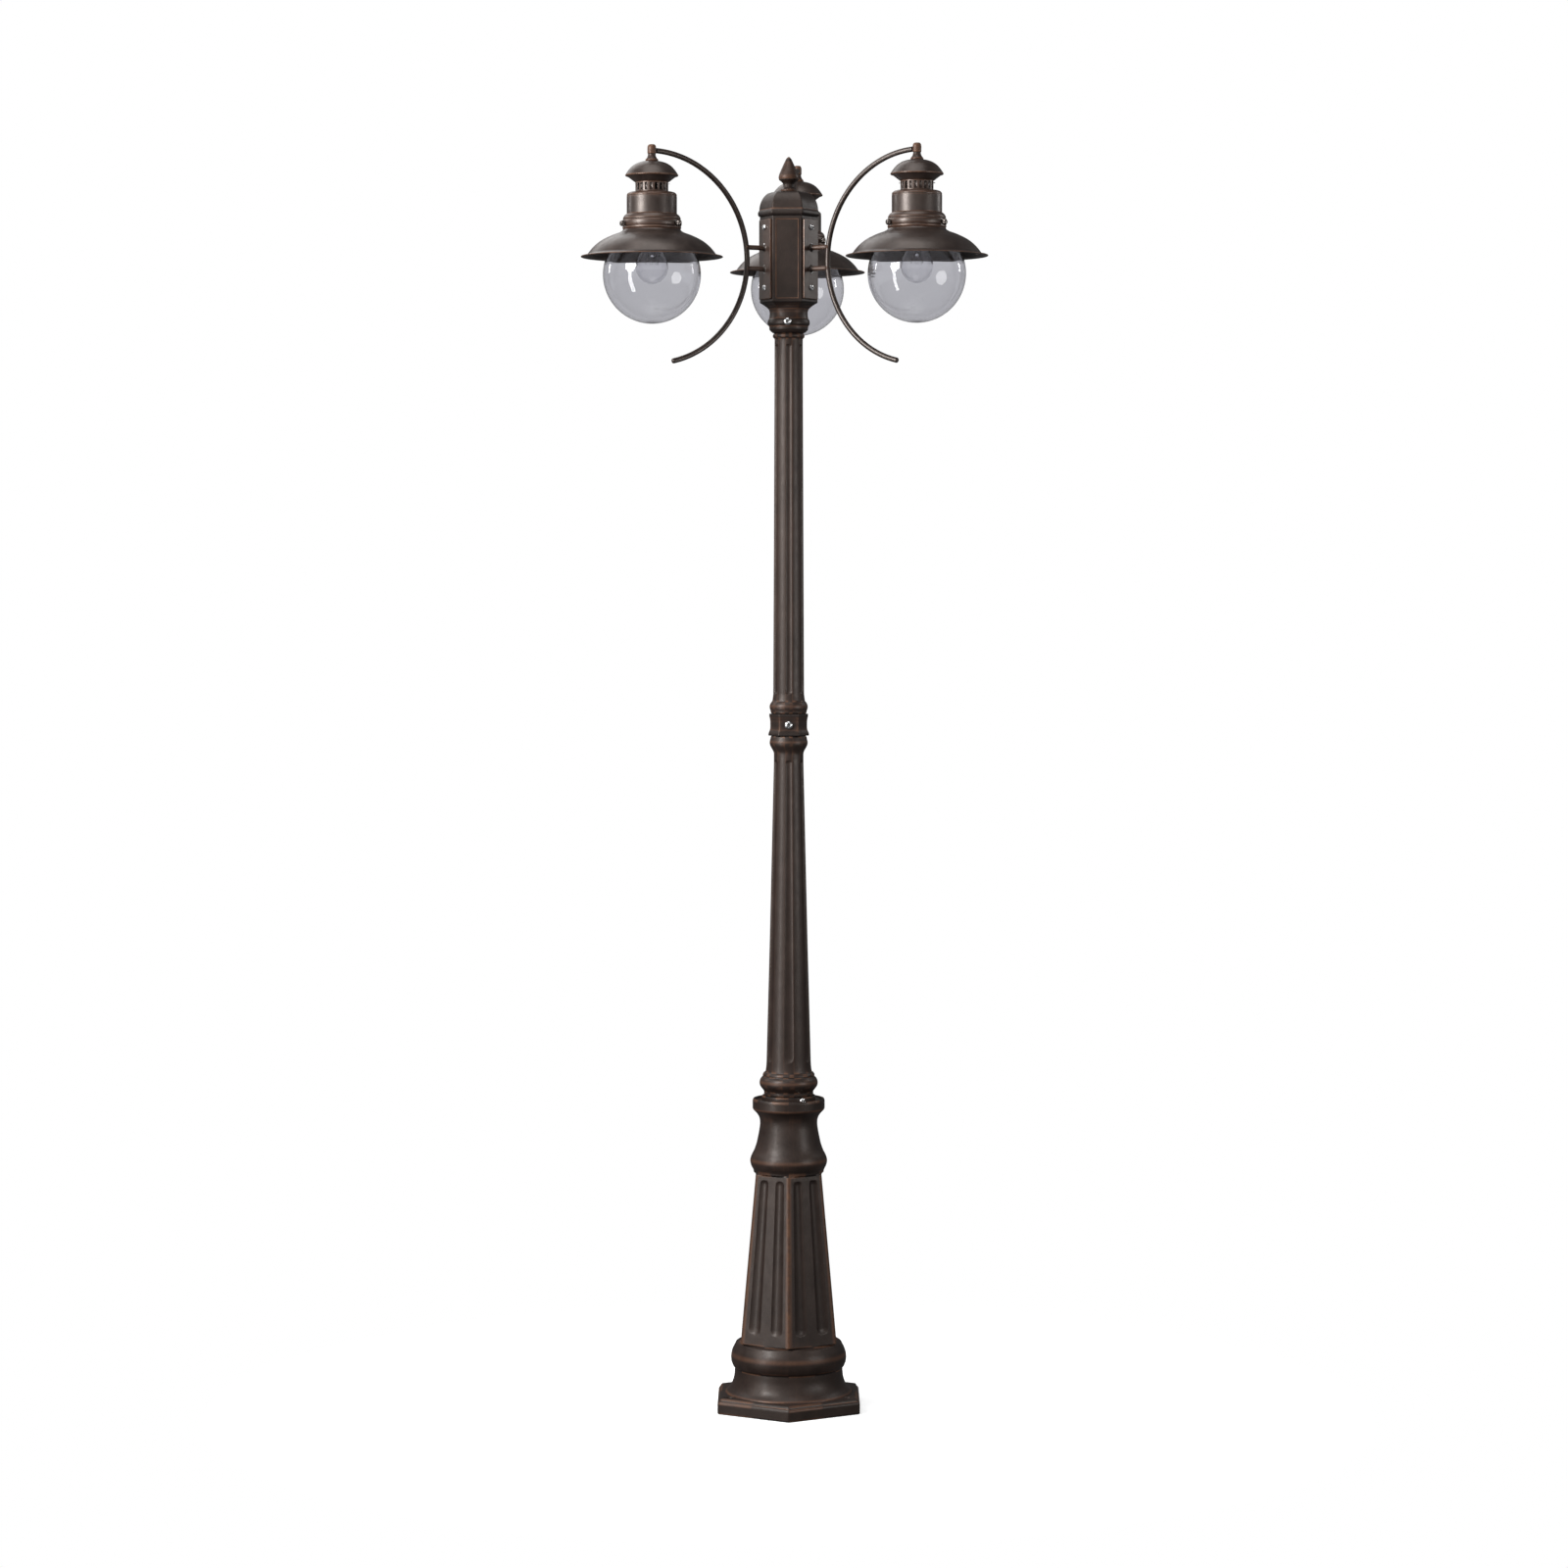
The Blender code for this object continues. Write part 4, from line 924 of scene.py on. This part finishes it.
def domeScrew(radius, rise, socket):
    # a low domed head on its washer face with a six-sided socket, standing on z = 0 and pointing up
    bm = spunBody([
        (0, -1.5), (radius * 0.5, -1.5), (radius * 0.5, 0), (radius, 0, 0.2), (radius, rise * 0.25, 0.3),
        (radius * 0.9, rise * 0.62, 1), (radius * 0.66, rise * 0.93, 1), (socket + 0.3, rise, 0.3),
        (socket, rise * 0.9, 0.2, 1), (socket, rise * 0.35, 0.2, 1), (0, rise * 0.3),
    ], around=48)
    makeHexagonal(bm, 0, 0.2)
    return bm


def screwMesh(radius, rise, socket, place):
    bm = domeScrew(radius, rise, socket)
    bmesh.ops.transform(bm, matrix=place, verts=bm.verts)
    return finishedMesh(bm, "domeScrew")


def sideways(distance, turn, height):
    # a screw that points outwards from the axis at that angle
    return (Matrix.Rotation(math.radians(turn), 4, "Z") @ Matrix.Translation((distance, 0, height))
            @ Matrix.Rotation(math.pi / 2, 4, "Y"))


plateScrewMesh = joinedMesh([screwMesh(5.6, 3.4, 2.0, Matrix.Translation((-230.7, 0, z))
                                       @ Matrix.Rotation(math.pi / 2, 4, "Y")) for z in (62, -50)]
                            + [screwMesh(1.9, 1.3, 0.8, Matrix.Translation((-230.7, 8.5 * side, z))
                                         @ Matrix.Rotation(math.pi / 2, 4, "Y"))
                               for z in (31, -22) for side in (0,)], "armPlateScrews")

for lamp, place in lampPlaces.items():
    pieces = [
        ("bowed_arm", tubeMesh, "head", sheetPaint, "sheet_paint", "arm_tube"),
        ("arm_plate_and_stubs", plateWithStubs, "head", sheetPaint, "sheet_paint", "arm_plate"),
        ("arm_elbow", elbowMesh, "head", castPaint, "cast_paint", "elbow"),
        ("mushroom_cap", capMesh, "head", sheetPaint, "sheet_paint", "cap"),
        ("slotted_vent_ring", ventMesh, "head", sheetPaint, "sheet_paint", "vent_ring"),
        ("lamp_housing", housingMesh, "head", sheetPaint, "sheet_paint", "housing"),
        ("globe_collar", collarMesh, "head", sheetPaint, "sheet_paint", "collar"),
        ("lamp_shade", shadeMesh, "head", sheetPaint, "sheet_paint", "shade"),
        ("ceramic_holder", holderMesh, "head", ceramicFinish, "white_ceramic", "lampholder"),
        ("glass_globe", globeMesh, f"globe_{lamp}", globeGlass, "clear_glass", "globe"),
        ("bulb_skin", bulbMesh, f"bulb_{lamp}", bulbGlass, "bulb_glass", "bulb"),
    ]
    for name, mesh, body, finish, slot, node in pieces:
        showPiece(f"{name}_{lamp}", mesh, body, finish, [f"{node}_{lamp}"], place)
    showPiece(f"bulb_cap_{lamp}", bulbCapMesh, f"bulb_{lamp}", brassCap, (), place)
    showPiece(f"bulb_stem_{lamp}", stemMesh, f"bulb_{lamp}", bulbGlass, (), place)
    showPiece(f"bulb_wires_{lamp}", wireMesh, f"bulb_{lamp}", filamentWire, (), place)
    showPiece(f"arm_plate_screws_{lamp}", plateScrewMesh, "head", brightSteel, (), place)
    for letter, turn in (("a", 0), ("b", 120), ("c", 240)):
        node = f"thumbscrew_{lamp}{letter}"
        low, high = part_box(node)
        here = place.inverted() @ ((low + high) / 2)
        around = Matrix.Rotation(math.atan2(here.y, here.x), 4, "Z")
        showPiece(f"knurled_{node}", thumbMesh, node, darkSteel, [node], place @ around)
print("lanterns made")


# ---- screws on the post, and what stays hidden inside ----

for node, body, radius, rise, turn, height, reach in (
    ("base_set_screw", "base", 6.0, 5.0, -60.0, 585.0, 50.5),
    ("coupling_set_screw", "lower_pole", 8.0, 5.0, -90.0, 1289.0, 30.2),
    ("head_set_screw", "head", 7.5, 5.0, -90.0 + headTurn, 2041.0, 39.4),
):
    low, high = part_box(node)
    middle = (low + high) / 2 / mm
    mesh = screwMesh(radius, rise, radius * 0.42, sideways(reach, turn, middle.z))
    showPiece(f"domed_{node}", mesh, body, brightSteel, [node])

for node, finish in (("finial", castPaint), ("finial_nut", brightSteel), ("terminal_block", plasticFinish),
                     ("supply_cable", rubberFinish), ("cable_grommet", rubberFinish),
                     ("lamp_lead_1", rubberFinish), ("lamp_lead_2", rubberFinish), ("lamp_lead_3", rubberFinish)):
    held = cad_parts[node]
    held.data.materials.clear()
    held.data.materials.append(finish)
    for holder in held.material_slots:
        holder.material = finish
print("screws made")


# ---- floor, light and camera ----

roomLook = {"whiteness": 1.0, "throughGlass": 0.56, "studio": 0.10, "floorSize": 30.0, "fadeFrom": 0.2, "fadeTo": 1.1,
            "floorGlow": 0.5}

floorMesh = bmesh.new()
bmesh.ops.create_circle(floorMesh, cap_ends=True, segments=96, radius=roomLook["floorSize"] / 2)
floorData = bpy.data.meshes.new("floor")
floorMesh.to_mesh(floorData)
floorMesh.free()
floor = bpy.data.objects.new("floor", floorData)
bpy.context.scene.collection.objects.link(floor)
floor.location.z = cadLow.z - 0.0005
floor.visible_glossy = False
floor.visible_diffuse = False

floorPaint = bpy.data.materials.new("paleFloor")
floorPaint.use_nodes = True
tree = floorPaint.node_tree
tree.nodes.clear()
end = put(tree, "OutputMaterial")
far = put(tree, "VectorMath", {0: put(tree, "TexCoord").outputs["Object"]}, operation="LENGTH").outputs["Value"]
flat = put(tree, "BsdfDiffuse", {"Color": (0.93, 0.93, 0.93, 1)}).outputs[0]
glow = put(tree, "Emission", {"Color": (1, 1, 1, 1), "Strength": roomLook["floorGlow"]}).outputs[0]
pale = put(tree, "AddShader", {0: flat, 1: glow}).outputs[0]
clear = put(tree, "BsdfTransparent").outputs[0]
fade = ramp(tree, far, roomLook["fadeFrom"], roomLook["fadeTo"])
tree.links.new(put(tree, "MixShader", {0: fade, 1: pale, 2: clear}).outputs[0], end.inputs["Surface"])
floorData.materials.append(floorPaint)

world = bpy.data.worlds.new("paleStudio")
bpy.context.scene.world = world
world.use_nodes = True
tree = world.node_tree
tree.nodes.clear()
end = put(tree, "OutputWorld")
path = put(tree, "LightPath")
plain = put(tree, "Background", {"Color": (1, 1, 1, 1), "Strength": roomLook["whiteness"]}).outputs[0]
behind = put(tree, "Background", {"Color": (0.98, 0.98, 1.02, 1), "Strength": roomLook["throughGlass"]}).outputs[0]
studio = put(tree, "Background", {"Color": (1.0, 1.0, 1.02, 1), "Strength": roomLook["studio"]}).outputs[0]
inner = put(tree, "MixShader", {0: path.outputs["Is Transmission Ray"], 1: studio, 2: behind}).outputs[0]
tree.links.new(put(tree, "MixShader", {0: path.outputs["Is Camera Ray"], 1: inner, 2: plain}).outputs[0],
               end.inputs["Surface"])

lampMiddle = Vector((0.0, 0.0, 2.12))


def softLight(name, shape, size, azimuth, elevation, distance, power, aim=lampMiddle):
    # azimuth 0 is towards the viewer, positive to the right
    data = bpy.data.lights.new(name, "AREA")
    data.shape = shape
    data.size = size[0]
    data.size_y = size[1]
    data.energy = power
    light = bpy.data.objects.new(name, data)
    light.visible_transmission = False  # seen in the glass, never through it
    bpy.context.scene.collection.objects.link(light)
    a, e = math.radians(azimuth), math.radians(elevation)
    way = Vector((math.sin(a) * math.cos(e), -math.cos(a) * math.cos(e), math.sin(e)))
    light.location = aim + way * distance
    light.rotation_euler = (-way).to_track_quat("-Z", "Y").to_euler()
    return light


softLight("rightDisc", "DISK", (1.7, 1.7), 58, -10, 3.6, 48)
softLight("leftDisc", "DISK", (1.5, 1.5), -51, 15, 3.6, 185)
softLight("leftStrip", "RECTANGLE", (0.5, 2.6), -52, -16, 3.4, 60)
softLight("leftRearStrip", "RECTANGLE", (0.3, 1.5), -114, 16, 3.4, 16)
softLight("rightRearStrip", "RECTANGLE", (0.3, 1.5), 114, 16, 3.4, 16)
softLight("topFill", "RECTANGLE", (2.6, 2.6), -20, 72, 3.2, 60)
softLight("rearTop", "RECTANGLE", (2.2, 2.2), -150, 42, 3.2, 34)
softLight("frontFill", "RECTANGLE", (5.0, 5.0), 0, 8, 6.5, 38)

bpy.context.scene.view_settings.view_transform = "Standard"  # plain studio colours, no film curve

cameraData = bpy.data.cameras.new("camera")
cameraData.lens = 93.4
cameraData.shift_y = -0.03
cameraData.sensor_width = 36.0
camera = bpy.data.objects.new("camera", cameraData)
bpy.context.scene.collection.objects.link(camera)
camera.location = (-0.0088, -7.63, 1.591)
aim = Vector((-0.0088, 0.0, 1.2657))
camera.rotation_euler = (aim - camera.location).to_track_quat("-Z", "Y").to_euler()
bpy.context.scene.camera = camera
print("stage ready")

bpy.context.view_layer.update()
